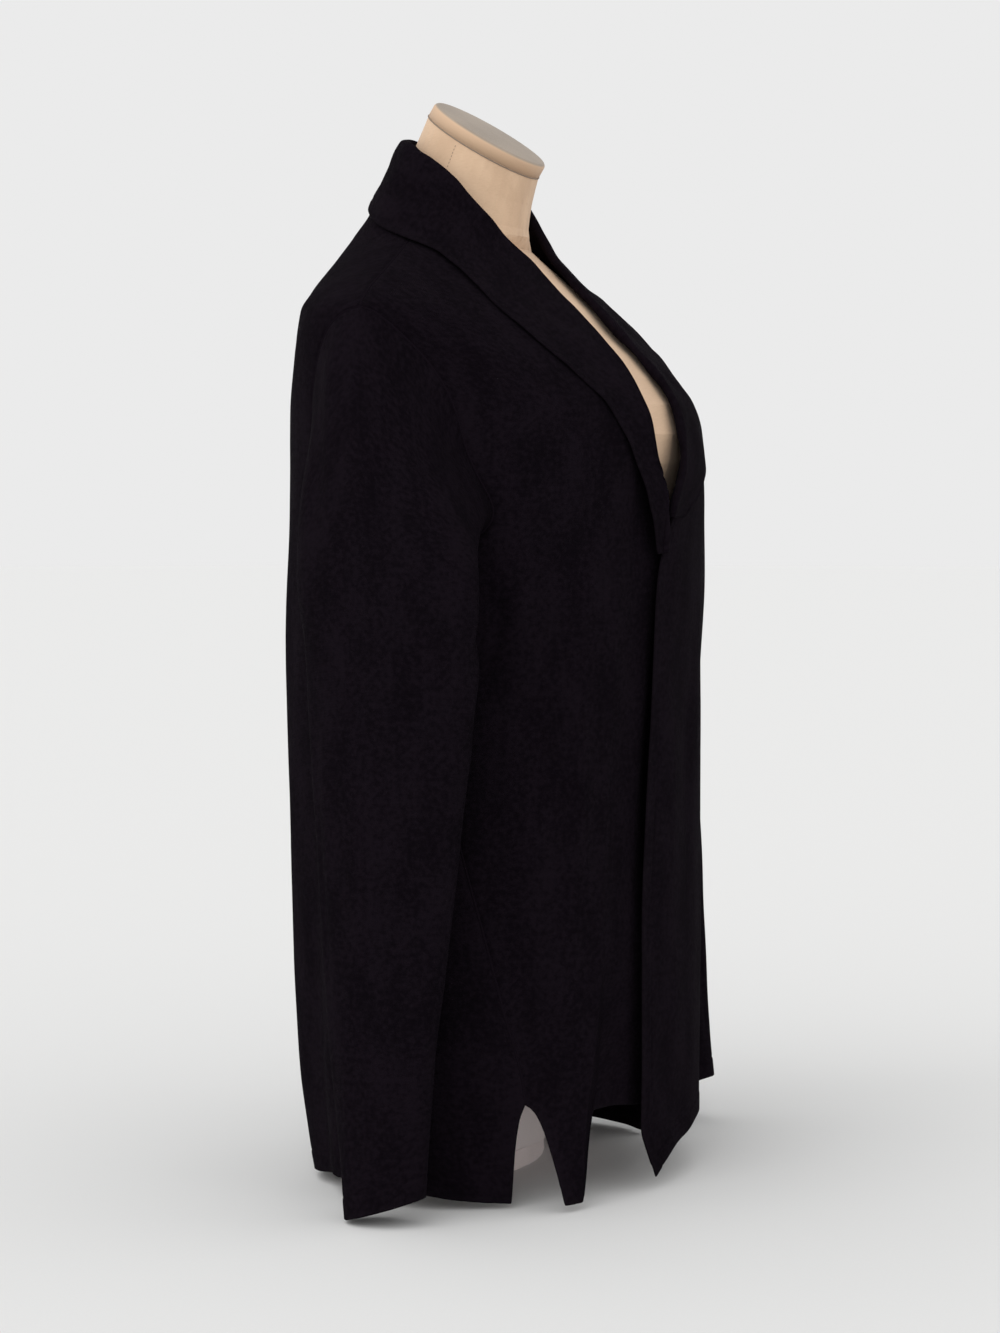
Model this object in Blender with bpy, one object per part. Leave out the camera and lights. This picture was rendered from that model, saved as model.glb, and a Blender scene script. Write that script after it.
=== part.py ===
"""Long knitted cardigan with a shawl collar, open in front, worn by a limbless dress form."""

import math

import bmesh
import bpy
import numpy as np

WALL = 0.0020
SEAM = 0.0003
REST = 0.0007
BACK_HEM = 0.0035
RIGHT_HEM = 0.0065
LEFT_HEM = 0.010
VENT_TOP = 0.078
UNDERARM = 0.462
SHOULDER_TIP = 0.646
BACK_NECK_RISE = 0.0300
SIDE_NECK = 0.7065
ROUNDNESS = 0.94

# Garment sections: height, half width, front reach, back reach, height line's depth
GARMENT = np.array([
    (0.000, 0.168, 0.139, -0.132, -0.010),
    (0.030, 0.171, 0.142, -0.137, -0.010),
    (0.080, 0.174, 0.143, -0.143, -0.010),
    (0.160, 0.178, 0.143, -0.146, -0.010),
    (0.260, 0.182, 0.142, -0.149, -0.010),
    (0.360, 0.184, 0.142, -0.151, -0.012),
    (0.450, 0.184, 0.143, -0.154, -0.015),
    (0.500, 0.183, 0.143, -0.153, -0.019),
    (0.530, 0.183, 0.142, -0.152, -0.021),
    (0.555, 0.183, 0.138, -0.151, -0.025),
    (0.578, 0.185, 0.130, -0.149, -0.028),
    (0.605, 0.188, 0.108, -0.144, -0.030),
    (0.628, 0.189, 0.084, -0.139, -0.034),
    (0.646, 0.184, 0.064, -0.135, -0.036),
    (0.660, 0.165, 0.048, -0.132, -0.038),
    (0.675, 0.134, 0.031, -0.129, -0.040),
    (0.690, 0.103, 0.016, -0.125, -0.042),
    (0.705, 0.076, 0.004, -0.119, -0.045),
    (0.720, 0.063, -0.002, -0.109, -0.047),
    (0.732, 0.055, -0.008, -0.103, -0.048),
    (0.745, 0.042, -0.018, -0.093, -0.048),
])

# Soft folds: angle at the top, angle at the hem, top height, foot height, width in degrees, depth
FOLDS = (
    (-38.0, -50.0, 0.50, 0.12, 7.0, 0.0050),
    (-104.0, -112.0, 0.42, -0.20, 10.0, 0.0060),
    (-140.0, -146.0, 0.50, -0.20, 11.0, 0.0050),
    (-122.0, -129.0, 0.40, -0.20, 8.0, -0.0050),
    (172.0, 176.0, 0.40, -0.20, 12.0, -0.0030),
    (142.0, 148.0, 0.46, -0.20, 11.0, 0.0050),
    (110.0, 118.0, 0.40, -0.20, 10.0, 0.0050),
    (58.0, 62.0, 0.40, -0.20, 9.0, -0.0050),
    (24.0, 28.0, 0.48, -0.20, 8.0, -0.0040),
)

# Side seams: height, angle from the centre front
SIDE_SEAM = np.array([
    (0.000, 57.3),
    (0.078, 57.3),
    (0.150, 63.0),
    (0.260, 73.0),
    (0.360, 82.0),
    (0.462, 90.0),
])

# Right front edge: height, angle of its fold, cloth turned in past the fold, how far it turns
RIGHT_EDGE = np.array([
    (0.000, -44.0, 0.114, 42.0),
    (0.050, -41.5, 0.103, 39.5),
    (0.100, -38.0, 0.096, 37.0),
    (0.155, -35.8, 0.092, 35.5),
    (0.260, -33.8, 0.090, 35.0),
    (0.360, -31.2, 0.086, 34.0),
    (0.430, -29.0, 0.080, 32.0),
    (0.460, -28.3, 0.074, 30.0),
    (0.490, -28.0, 0.061, 26.0),
    (0.515, -27.5, 0.049, 22.0),
    (0.535, -26.5, 0.035, 15.0),
    (0.555, -25.5, 0.015, 4.5),
    (0.577, -22.8, 0.001, 0.0),
    (0.610, -23.2, 0.001, 0.0),
    (0.650, -27.0, 0.001, 0.0),
    (0.670, -34.0, 0.001, 0.0),
    (0.690, -45.5, 0.001, 0.0),
    (0.702, -67.0, 0.001, 0.0),
    (0.707, -88.0, 0.001, 0.0),
])

# Left front edge: height, angle
LEFT_EDGE = np.array([
    (0.000, -11.0),
    (0.010, -13.0),
    (0.030, -17.5),
    (0.050, -20.0),
    (0.180, -19.0),
    (0.260, -18.0),
    (0.360, -15.5),
    (0.430, -14.5),
    (0.450, -13.5),
    (0.466, -12.0),
    (0.480, -10.0),
    (0.493, -8.0),
    (0.508, -5.5),
    (0.525, -2.5),
    (0.545, 2.0),
    (0.577, 7.5),
    (0.610, 11.0),
    (0.650, 16.0),
    (0.670, 24.0),
    (0.690, 42.0),
    (0.702, 66.0),
    (0.707, 88.0),
])

# Front vent edges below the side seams, and the back's: height, angle
FRONT_VENT = np.array([
    (0.000, 47.6),
    (0.030, 49.7),
    (0.050, 51.4),
    (0.065, 53.2),
    (0.0735, 55.0),
    (0.0772, 56.7),
    (0.078, 57.3),
])
BACK_VENT = np.array([
    (0.000, 61.0),
    (0.040, 60.2),
    (0.065, 59.0),
    (0.078, 57.3),
])

BODY_ROWS = (0.024, 0.040, 0.058, 0.075, 0.105, 0.145, 0.190, 0.240, 0.290, 0.340, 0.385, 0.430)
ARMHOLE_ROWS = (0.462, 0.4635, 0.468, 0.477, 0.490, 0.505, 0.520, 0.537, 0.555, 0.577, 0.600, 0.620, 0.634, 0.642, 0.646)
FRONT_YOKE_ROWS = (0.653, 0.661, 0.670, 0.680, 0.690, 0.697, 0.702, 0.705, 0.7065)
BACK_YOKE_ROWS = (0.653, 0.661, 0.670, 0.680, 0.690, 0.699, 0.7065)

# Sleeve sections: height, centre across, centre forward, half thickness, half width
RIGHT_SLEEVE = np.array([
    (0.0115, -0.2190, -0.001, 0.020, 0.0295),
    (0.050, -0.2185, -0.002, 0.021, 0.0330),
    (0.100, -0.2180, -0.003, 0.022, 0.0375),
    (0.210, -0.2175, -0.001, 0.024, 0.0490),
    (0.290, -0.2180, 0.002, 0.026, 0.0565),
    (0.360, -0.2190, 0.004, 0.028, 0.0625),
    (0.410, -0.2200, 0.004, 0.030, 0.0655),
    (0.448, -0.2210, 0.002, 0.032, 0.0690),
])
LEFT_SLEEVE = np.array([
    (0.027, 0.2185, 0.060, 0.020, 0.0285),
    (0.060, 0.2170, 0.054, 0.021, 0.0330),
    (0.110, 0.2165, 0.045, 0.022, 0.0385),
    (0.210, 0.2170, 0.030, 0.024, 0.0490),
    (0.290, 0.2180, 0.017, 0.026, 0.0560),
    (0.360, 0.2190, 0.009, 0.028, 0.0620),
    (0.410, 0.2200, 0.004, 0.030, 0.0650),
    (0.448, 0.2210, 0.002, 0.032, 0.0690),
])

# Dress form below the bust: height, half width, front reach, back reach, depth of the widest line
FORM = np.array([
    (0.018, 0.118, 0.026, -0.110, -0.044),
    (0.060, 0.124, 0.034, -0.114, -0.042),
    (0.130, 0.132, 0.044, -0.117, -0.038),
    (0.200, 0.136, 0.052, -0.115, -0.034),
    (0.280, 0.122, 0.056, -0.104, -0.028),
    (0.340, 0.112, 0.060, -0.098, -0.024),
    (0.400, 0.122, 0.076, -0.108, -0.020),
    (0.450, 0.138, 0.102, -0.124, -0.020),
    (0.500, 0.152, 0.119, -0.138, -0.022),
    (0.530, 0.160, 0.121, -0.143, -0.024),
    (0.560, 0.168, 0.116, -0.144, -0.027),
])
FORM_ROWS = (0.018, 0.0195, 0.024, 0.045, 0.080, 0.130, 0.180, 0.230, 0.280, 0.330, 0.380, 0.420, 0.455, 0.485,
             0.510, 0.535, 0.557, 0.580, 0.600, 0.616, 0.628, 0.637, 0.6425, 0.6465, 0.653, 0.663, 0.676, 0.690,
             0.698)

# Neck sections: centre forward, centre height, radius across, radius forward, forward tilt in degrees
NECK = (
    (-0.0455, 0.7090, 0.0590, 0.0580, 4.0),
    (-0.0405, 0.7200, 0.0530, 0.0535, 10.0),
    (-0.0350, 0.7340, 0.0502, 0.0508, 18.0),
    (-0.0295, 0.7490, 0.0490, 0.0490, 25.0),
    (-0.0235, 0.7640, 0.0481, 0.0479, 30.0),
    (-0.0200, 0.7730, 0.0477, 0.0475, 32.0),
)


def clear_scene():
    for item in list(bpy.data.objects):
        bpy.data.objects.remove(item, do_unlink=True)


def row_at(table, at):
    """The table's other columns at this value of its first one, eased between its rows."""
    keys = table[:, 0]
    steps = np.diff(table[:, 1:], axis=0) / np.diff(keys)[:, None]
    slopes = np.zeros_like(table[:, 1:])
    slopes[0] = steps[0]
    slopes[-1] = steps[-1]
    before, after = steps[:-1], steps[1:]
    same = before * after > 0
    total = np.where(same, before + after, 1.0)
    slopes[1:-1] = np.where(same, 2 * before * after / total, 0.0)
    k = int(np.clip(np.searchsorted(keys, at) - 1, 0, len(keys) - 2))
    span = keys[k + 1] - keys[k]
    t = (at - keys[k]) / span
    if t < 0 or t > 1:
        end = 0 if t < 0 else -1
        return table[end, 1:] + slopes[end] * (at - keys[end])
    return (
        (2 * t**3 - 3 * t**2 + 1) * table[k, 1:]
        + (t**3 - 2 * t**2 + t) * span * slopes[k]
        + (3 * t**2 - 2 * t**3) * table[k + 1, 1:]
        + (t**3 - t**2) * span * slopes[k + 1]
    )


def smooth(low, high, value):
    t = min(max((value - low) / (high - low), 0.0), 1.0)
    return t * t * (3 - 2 * t)


def oval(section, angle, height):
    """A point of a section, at an angle from the centre front that is positive on the wearer's left."""
    width, front, back, middle = section
    across, along = math.sin(math.radians(angle)), math.cos(math.radians(angle))
    reach = front - middle if along > 0 else middle - back
    x = width * math.copysign(abs(across) ** ROUNDNESS, across)
    forward = middle + reach * math.copysign(abs(along) ** ROUNDNESS, along)
    return np.array((x, -forward, height))


def fold_depth(angle, height):
    """How far the soft folds push the cloth out here."""
    depth = 0.0
    for top_angle, foot_angle, top, foot, width, most in FOLDS:
        share = (height - BACK_HEM) / (top - BACK_HEM)
        turn = (angle - foot_angle - (top_angle - foot_angle) * share + 180) % 360 - 180
        fade = smooth(top, top - 0.16, height) if height < top else 0.0
        if foot > 0:
            fade *= smooth(foot, foot + 0.12, height)
        depth += most * fade * math.exp(-((turn / width) ** 2))
    return depth


def garment(angle, height):
    """The cardigan's outer face."""
    point = oval(row_at(GARMENT, height), angle, height)
    depth = fold_depth(angle, height)
    turn = math.radians(angle)
    return point + depth * np.array((math.sin(turn), -math.cos(turn), 0.0))


def normal_of(surface, a, b, step_a, step_b):
    """The face's outward direction, from the points just beside this one."""
    along_a = surface(a + step_a, b) - surface(a - step_a, b)
    along_b = surface(a, b + step_b) - surface(a, b - step_b)
    across = np.cross(along_a, along_b)
    return across / np.linalg.norm(across)


def garment_out(angle, height, out):
    return garment(angle, height) + out * normal_of(garment, angle, height, 0.4, 0.0008)


def seam_angle(height):
    return float(row_at(SIDE_SEAM, height)[0])


def armhole_half(height):
    """Half the armhole's width in degrees, ahead of the side line and behind it."""
    middle, reach = (UNDERARM + SHOULDER_TIP) / 2, (SHOULDER_TIP - UNDERARM) / 2
    part = min(abs(height - middle) / reach, 1.0)
    low = height < middle
    swell = (1 - part**2.6) ** (0.62 if low else 0.60)
    drag = 17.0 * math.exp(-(((height - 0.488) / 0.021) ** 2)) * swell
    return 21.0 * swell + drag, 25.0 * swell


def side_limit(height, ahead):
    """Angle at which a panel ends at the side: the side seam, the armhole or the shoulder seam."""
    if height < VENT_TOP:
        return float(row_at(FRONT_VENT if ahead else BACK_VENT, height)[0])
    if height < UNDERARM:
        return seam_angle(height)
    if height > SHOULDER_TIP:
        return 90.0
    front, back = armhole_half(height)
    return 90.0 - front if ahead else 90.0 + back


def seam_degrees(height):
    """The angle that half a seam's gap takes up at this height."""
    width, front, _, middle = row_at(GARMENT, height)
    return math.degrees(0.5 * SEAM / min(width, front - middle)) * 1.25


def vent_flare(height, angle, most):
    """How far the front's vent edge stands out from the back's."""
    if height >= VENT_TOP:
        return 0.0
    near = math.exp(-(((abs(angle) - 57.0) / 24.0) ** 2))
    return most * near * (1 - height / VENT_TOP) ** 1.3


def right_front(across, height):
    """Across runs from the side seam at 0 to the fold at 1 and the free edge at 2."""
    if across > 1:
        raised = smooth(1.03, 1.12, across) * (1 - 0.28 * smooth(1.3, 2.0, across))
        height = height + 0.054 * (1 - smooth(RIGHT_HEM, 0.2, height)) * raised
    fold_angle, turned_in, turn = row_at(RIGHT_EDGE, height)
    start = -(side_limit(height, True) - seam_degrees(height))

    def face(angle):
        point = garment(angle, height)
        out = vent_flare(height, angle, 0.020)
        way = math.radians(angle)
        return point + out * np.array((math.sin(way), -math.cos(way), 0.0))

    if across <= 1:
        return face(start + (fold_angle - start) * across)
    edge = face(fold_angle)
    ahead = face(fold_angle + 0.3) - face(fold_angle - 0.3)
    ahead /= np.linalg.norm(ahead)
    inward = np.array((-ahead[1], ahead[0], 0.0))
    if inward[1] < 0:
        inward = -inward
    length = (across - 1) * turned_in
    radius = 0.010
    bend = math.radians(turn)
    angle = min(length / radius, bend)
    rest = length - angle * radius
    point = edge + radius * (math.sin(angle) * ahead + (1 - math.cos(angle)) * inward)
    return point + rest * (math.cos(angle) * ahead + math.sin(angle) * inward)


def left_front(across, height):
    """Across runs from the free edge at 0 to the side seam at 1."""
    reach = 1 - (1 - min(across / 0.6, 1.0)) ** 2
    height = height + 0.032 * (1 - smooth(LEFT_HEM, 0.13, height)) * reach
    start = float(row_at(LEFT_EDGE, height)[0])
    end = side_limit(height, True) - seam_degrees(height)
    angle = start + (end - start) * across
    out = vent_flare(height, angle, 0.012)
    way = math.radians(angle)
    return garment(angle, height) + out * np.array((math.sin(way), -math.cos(way), 0.0))


def neck_rise(angle):
    """How much higher the back's neck edge is here than at the shoulder seam."""
    return BACK_NECK_RISE * smooth(92.0, 150.0, 180.0 - abs(180.0 - angle % 360.0))


def back_panel(across, height):
    """Across runs from the left side at 0 to the right side at 1."""
    limit = side_limit(height, False) + seam_degrees(height)
    start, end = limit, 360.0 - limit
    angle = start + (end - start) * across
    tuck = 0.0
    height += neck_rise(angle) * smooth(SHOULDER_TIP, SIDE_NECK, height)
    if height < VENT_TOP:
        near = math.exp(-((min(across, 1 - across) / 0.06) ** 2))
        tuck = -0.006 * near * (1 - height / VENT_TOP)
    way = math.radians(angle)
    return garment(angle, height) + tuck * np.array((math.sin(way), -math.cos(way), 0.0))


def material(name, colour, roughness):
    made = bpy.data.materials.new(name)
    made.use_nodes = True
    shader = made.node_tree.nodes["Principled BSDF"]
    shader.inputs["Base Color"].default_value = (*colour, 1.0)
    shader.inputs["Roughness"].default_value = roughness
    made.diffuse_color = (*colour, 1.0)
    return made


def solid(name, points, faces, surface):
    mesh = bpy.data.meshes.new(name)
    mesh.from_pydata([tuple(point) for point in points], [], faces)
    mesh.validate()
    item = bpy.data.objects.new(name, mesh)
    bpy.data.collections["long_cardigan"].objects.link(item)
    edit = bmesh.new()
    edit.from_mesh(mesh)
    bmesh.ops.remove_doubles(edit, verts=edit.verts, dist=1e-6)
    bmesh.ops.recalc_face_normals(edit, faces=edit.faces)
    if edit.calc_volume(signed=True) < 0:
        bmesh.ops.reverse_faces(edit, faces=edit.faces)
    edit.to_mesh(mesh)
    edit.free()
    mesh.materials.append(surface)
    mesh.shade_smooth()
    return item


def sheet_faces(rows, columns, closed):
    """Faces of a wall: its outer grid, its inner grid and the rims that join them."""
    faces = []
    inner = rows * columns
    last = columns if closed else columns - 1
    for r in range(rows - 1):
        for c in range(last):
            a = r * columns + c
            b = r * columns + (c + 1) % columns
            faces.append((a, b, b + columns, a + columns))
            faces.append((inner + a, inner + a + columns, inner + b + columns, inner + b))
    for r in (0, rows - 1):
        for c in range(last):
            a = r * columns + c
            b = r * columns + (c + 1) % columns
            faces.append((a, inner + a, inner + b, b))
    if not closed:
        for r in range(rows - 1):
            for c in (0, columns - 1):
                a = r * columns + c
                faces.append((a, a + columns, inner + a + columns, inner + a))
    return faces


def panel(name, surface, across_values, heights, cloth):
    """A cut piece: an outer grid of points on its face and an inner grid one wall behind them."""
    outer, inner = [], []
    for height in heights:
        for across in across_values:
            point = surface(across, height)
            outward = normal_of(surface, across, height, 0.004, 0.0006)
            outer.append(point)
            inner.append(point - WALL * outward)
    return solid(name, outer + inner, sheet_faces(len(heights), len(across_values), False), cloth)


def spread(start, end, count):
    return [start + (end - start) * k / (count - 1) for k in range(count)]


def build_back(cloth):
    heights = (BACK_HEM,) + BODY_ROWS + ARMHOLE_ROWS + BACK_YOKE_ROWS
    return panel("back", back_panel, spread(0.0, 1.0, 27), heights, cloth)


def build_fronts(cloth):
    heights = BODY_ROWS + ARMHOLE_ROWS + FRONT_YOKE_ROWS
    flap = [1.0 + value for value in (0.10, 0.22, 0.40, 0.68, 1.0)]
    panel("front_right", right_front, spread(0.0, 1.0, 10) + flap, (RIGHT_HEM,) + heights, cloth)
    panel("front_left", left_front, spread(0.0, 1.0, 14), (LEFT_HEM,) + heights, cloth)


def armhole_ring(side):
    """Angles and heights of the sleeve's first ring, from the underarm up the front and down the back."""
    ring = []
    for height in ARMHOLE_ROWS:
        front, _ = armhole_half(height)
        ring.append((90.0 - front + seam_degrees(height), height))
    for height in reversed(ARMHOLE_ROWS[1:-1]):
        _, back = armhole_half(height)
        ring.append((90.0 + back - seam_degrees(height), height))
    return [(side * angle, height) for angle, height in ring]


def sleeve_ring(table, height, turns):
    """Points of a hanging section, starting at its side next to the body and going forward."""
    across, forward, thick, wide = row_at(table, height)
    inward = -math.copysign(1.0, across)
    points = []
    for turn in turns:
        x = across + inward * thick * math.cos(turn)
        ahead = wide * math.sin(turn)
        slant = 0.32 * ahead * smooth(0.12, 0.02, height)
        points.append(np.array((x, -(forward + ahead), height + slant)))
    return points


def build_sleeve(name, side, table, cloth):
    ring = armhole_ring(side)
    count = len(ring)
    starts, ways, inners = [], [], []
    for k, (angle, height) in enumerate(ring):
        point = garment(angle, height)
        out = normal_of(garment, angle, height, 0.4, 0.0008)
        starts.append(point)
        inners.append(point - WALL * out)
        ways.append(out)
    middle = sum(starts) / count
    lengths = [np.linalg.norm(starts[(k + 1) % count] - starts[k]) for k in range(count)]
    total = sum(lengths)
    turns, run = [], 0.0
    for k in range(count):
        turns.append(2 * math.pi * run / total)
        run += lengths[k]
    low = sleeve_ring(table, 0.448, turns)
    rows = [starts]
    for t in (0.07, 0.18, 0.32, 0.48, 0.66, 0.84, 1.0):
        points = []
        for start, way, end in zip(starts, ways, low):
            reach = np.linalg.norm(end - start)
            toward = middle - start
            toward -= np.dot(toward, way) * way
            toward /= np.linalg.norm(toward) + 1e-9
            leave = toward + (1.5 - 1.1 * smooth(0.48, 0.60, start[2])) * way
            leave /= np.linalg.norm(leave)
            leave_reach = min(reach, 0.12) * 0.9
            points.append(
                (2 * t**3 - 3 * t**2 + 1) * start
                + (t**3 - 2 * t**2 + t) * leave_reach * leave
                + (3 * t**2 - 2 * t**3) * end
                + (t**3 - t**2) * reach * np.array((0.0, 0.0, -1.0))
            )
        rows.append(points)
    for height in (0.425, 0.395, 0.360, 0.320, 0.280, 0.235, 0.190, 0.145, 0.100, 0.055, float(table[0, 0])):
        rows.append(sleeve_ring(table, height, turns))
    outer = np.array(rows)
    along = np.gradient(outer, axis=0)
    around = np.roll(outer, -1, axis=1) - np.roll(outer, 1, axis=1)
    outward = np.cross(along, around)
    outward /= np.linalg.norm(outward, axis=2, keepdims=True)
    centres = outer.mean(axis=1, keepdims=True)
    if ((outer - centres) * outward)[-4:].sum() < 0:
        outward = -outward
    inner = outer - WALL * outward
    inner[0] = np.array(inners)
    points = list(outer.reshape(-1, 3)) + list(inner.reshape(-1, 3))
    return solid(name, points, sheet_faces(len(rows), count, True), cloth)


# Collar, from the centre back to the break on each side: station, the neck seam's angle (behind) or height
# (in front), the roll line across, forward and up, and the fall's edge as an angle and a height
COLLAR_BACK = np.array([
    (0.0, 180.0, 0.0000, -0.0735, 0.7765, 180.0, 0.7315),
    (1.0, 158.0, 0.0210, -0.0705, 0.7755, 161.0, 0.7295),
    (2.0, 138.0, 0.0390, -0.0605, 0.7720, 143.0, 0.7240),
    (3.0, 118.0, 0.0530, -0.0480, 0.7660, 124.0, 0.7155),
    (4.0, 101.0, 0.0600, -0.0340, 0.7590, 105.0, 0.7060),
])
COLLAR_RIGHT = (
    (0.7060, 0.0605, -0.0180, 0.7470, 85.0, 0.6965),
    (0.6990, 0.0560, -0.0042, 0.7280, 67.0, 0.6892),
    (0.6860, 0.0510, 0.0095, 0.7080, 54.5, 0.6780),
    (0.6670, 0.0430, 0.0270, 0.6870, 45.0, 0.6630),
    (0.6460, 0.0380, 0.0475, 0.6660, 39.5, 0.6450),
    (0.6260, 0.0375, 0.0690, 0.6430, 35.8, 0.6270),
    (0.6060, 0.0415, 0.0925, 0.6200, 32.8, 0.6080),
    (0.5860, 0.0475, 0.1145, 0.5960, 29.3, 0.5880),
    (0.5660, 0.0510, 0.1290, 0.5730, 26.0, 0.5680),
    (0.5460, 0.0510, 0.1355, 0.5510, 23.6, 0.5470),
    (0.5280, 0.0490, 0.1390, 0.5310, 21.5, 0.5280),
    (0.5090, 0.0450, 0.1412, 0.5110, 18.6, 0.5090),
    (0.4890, 0.0450, 0.1418, 0.4900, 16.5, 0.4890),
    (0.4700, 0.0475, 0.1415, 0.4705, 15.0, 0.4700),
)
COLLAR_LEFT = (
    (0.7060, 0.0610, -0.0180, 0.7470, 85.0, 0.6965),
    (0.6990, 0.0480, -0.0030, 0.7280, 66.0, 0.6890),
    (0.6860, 0.0310, 0.0125, 0.7080, 51.0, 0.6780),
    (0.6670, 0.0140, 0.0310, 0.6870, 40.0, 0.6630),
    (0.6460, 0.0020, 0.0505, 0.6660, 33.0, 0.6450),
    (0.6260, -0.0035, 0.0700, 0.6430, 28.0, 0.6270),
    (0.6060, -0.0070, 0.0946, 0.6200, 24.5, 0.6080),
    (0.5860, -0.0095, 0.1183, 0.5960, 22.0, 0.5880),
    (0.5660, -0.0170, 0.1337, 0.5730, 20.0, 0.5680),
    (0.5460, -0.0235, 0.1399, 0.5510, 18.0, 0.5470),
    (0.5280, -0.0310, 0.1421, 0.5310, 14.0, 0.5280),
    (0.5120, -0.0370, 0.1420, 0.5140, 7.0, 0.5120),
    (0.4960, -0.0375, 0.1420, 0.4970, -2.0, 0.4960),
)


def clearance(point):
    """How far a point lies outside the garment's outer face, and the way out."""

    def level(at):
        width, front, back, middle = row_at(GARMENT, at[2])
        forward = -at[1] - middle
        reach = front - middle if forward > 0 else middle - back
        power = 2 / ROUNDNESS
        return (abs(at[0] / width) ** power + abs(forward / reach) ** power) ** (1 / power) - 1

    step = 0.0005
    slope = np.array([
        (level(point + step * axis) - level(point - step * axis)) / (2 * step) for axis in np.eye(3)
    ])
    size = np.linalg.norm(slope)
    return level(point) / size, slope / size


def kept_out(point, distance):
    """The point, moved out where it is nearer to the garment's face than this."""
    for _ in range(3):
        clear, way = clearance(point)
        if clear >= distance:
            break
        point = point + (distance - clear) * way
    return point


def collar_section(neck, roll, edge, radius):
    """Mid-line of the folded collar: up the stand, over the roll, down the fall."""
    rise = roll - neck
    height = np.linalg.norm(rise)
    up = rise / height
    _, way = clearance(neck)
    out = way - up * np.dot(way, up)
    out /= np.linalg.norm(out)
    stand = height - radius
    points = [neck + up * stand * share for share in (0.0, 0.35, 0.70, 0.92)]
    centre = neck + up * stand + out * radius
    for turn in (15.0, 50.0, 90.0, 130.0, 165.0):
        way = math.radians(turn)
        points.append(centre + radius * (math.sin(way) * up - math.cos(way) * out))
    start = centre + radius * out
    hold = 0.32 * np.linalg.norm(edge - start)
    for share in (0.15, 0.40, 0.65, 0.85, 1.0):
        control = start - up * hold
        points.append((1 - share) ** 2 * start + 2 * share * (1 - share) * control + share**2 * edge)
    first_fall = 9
    for k in range(first_fall, len(points)):
        points[k] = kept_out(points[k], 0.0022 + 0.0010 * (1 - (k - first_fall) / 4))
    return points


def front_neck(side, height):
    """The middle of a front's free edge here, and the way the cloth runs out of it."""
    if side < 0:
        surface, across, step = right_front, 2.0, -0.02
    else:
        surface, across, step = left_front, 0.0, 0.02
    edge = surface(across, height)
    run = edge - surface(across + step, height)
    out = normal_of(surface, across, height, 0.004, 0.0006)
    return edge - 0.5 * WALL * out, run / np.linalg.norm(run)


def back_neck(side, angle):
    """The middle of the back's neck edge here, and the way the cloth runs out of it."""
    height = SIDE_NECK + neck_rise(angle)
    edge = garment_out(side * angle, height, -0.5 * WALL)
    run = edge - garment_out(side * angle, height - 0.002, -0.5 * WALL)
    return edge, run / np.linalg.norm(run)


def collar_stations():
    """Sections from the break on the right, round the back, to the break on the left."""
    stations = []
    for side, rows in ((-1, COLLAR_RIGHT), (1, COLLAR_LEFT)):
        run = []
        for station in spread(0.0, 4.0, 9):
            angle, *rest = row_at(COLLAR_BACK, station)
            run.append((back_neck(side, angle), rest, 0.0035))
        for count, (height, *rest) in enumerate(rows):
            run.append((front_neck(side, height), rest, max(0.0035 - 0.0003 * count, 0.0022)))
        made = []
        for (neck, way), (x, forward, z, edge_angle, edge_height), radius in run:
            roll = kept_out(np.array((side * x, -forward, z)), 0.0020)
            edge = garment_out(side * edge_angle, edge_height, 0.0022)
            lift = (roll - neck) / np.linalg.norm(roll - neck)
            reach = 0.0015 + 0.0013 * (1 - float(np.dot(lift, way)))
            made.append(collar_section(neck + reach * way + 0.0002 * lift, roll, edge, radius))
        stations.append(made)
    right, left = stations
    return right[::-1] + left[1:]


def build_collar(cloth):
    middle = np.array(collar_stations())
    along = np.gradient(middle, axis=0)
    across = np.gradient(middle, axis=1)
    outward = np.cross(along, across)
    outward /= np.linalg.norm(outward, axis=2, keepdims=True)
    half = 0.5 * WALL
    points = list((middle + half * outward).reshape(-1, 3)) + list((middle - half * outward).reshape(-1, 3))
    return solid("collar", points, sheet_faces(middle.shape[0], middle.shape[1], False), cloth)


def torso_point(angle, height):
    """The form's skin: its own sections below, and just under the cloth at the chest and shoulders."""
    low = oval(row_at(FORM, height), angle, height)
    share = smooth(0.500, 0.575, height)
    if share == 0:
        return low
    rest = REST + 0.0010 * math.exp(-(((height - 0.634) / 0.012) ** 2))
    rest += 0.0008 * math.exp(-(((height - 0.579) / 0.009) ** 2))
    high = garment_out(angle, height, -(WALL + rest))
    return low + share * (high - low)


def build_torso(skin):
    turns = spread(0.0, 360.0, 37)[:-1]
    rings = []
    for row, height in enumerate(FORM_ROWS):
        ring = [torso_point(angle, height) for angle in turns]
        if row == 0:
            middle = sum(ring) / len(ring)
            ring = [middle + 0.975 * (point - middle) for point in ring]
        rings.append(ring)
    for forward, height, wide, deep, tilt in NECK:
        lean = math.radians(tilt)
        ring = []
        for angle in turns:
            across = wide * math.sin(math.radians(angle))
            along = deep * math.cos(math.radians(angle))
            ring.append(np.array((across, -(forward + along * math.cos(lean)), height - along * math.sin(lean))))
        rings.append(ring)
    count = len(turns)
    points = [point for ring in rings for point in ring]
    faces = []
    for r in range(len(rings) - 1):
        for c in range(count):
            a, b = r * count + c, r * count + (c + 1) % count
            faces.append((a, b, b + count, a + count))
    faces.append(tuple(range(count)))
    faces.append(tuple(reversed(range(len(points) - count, len(points)))))
    return solid("form_torso", points, faces, skin)


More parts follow.
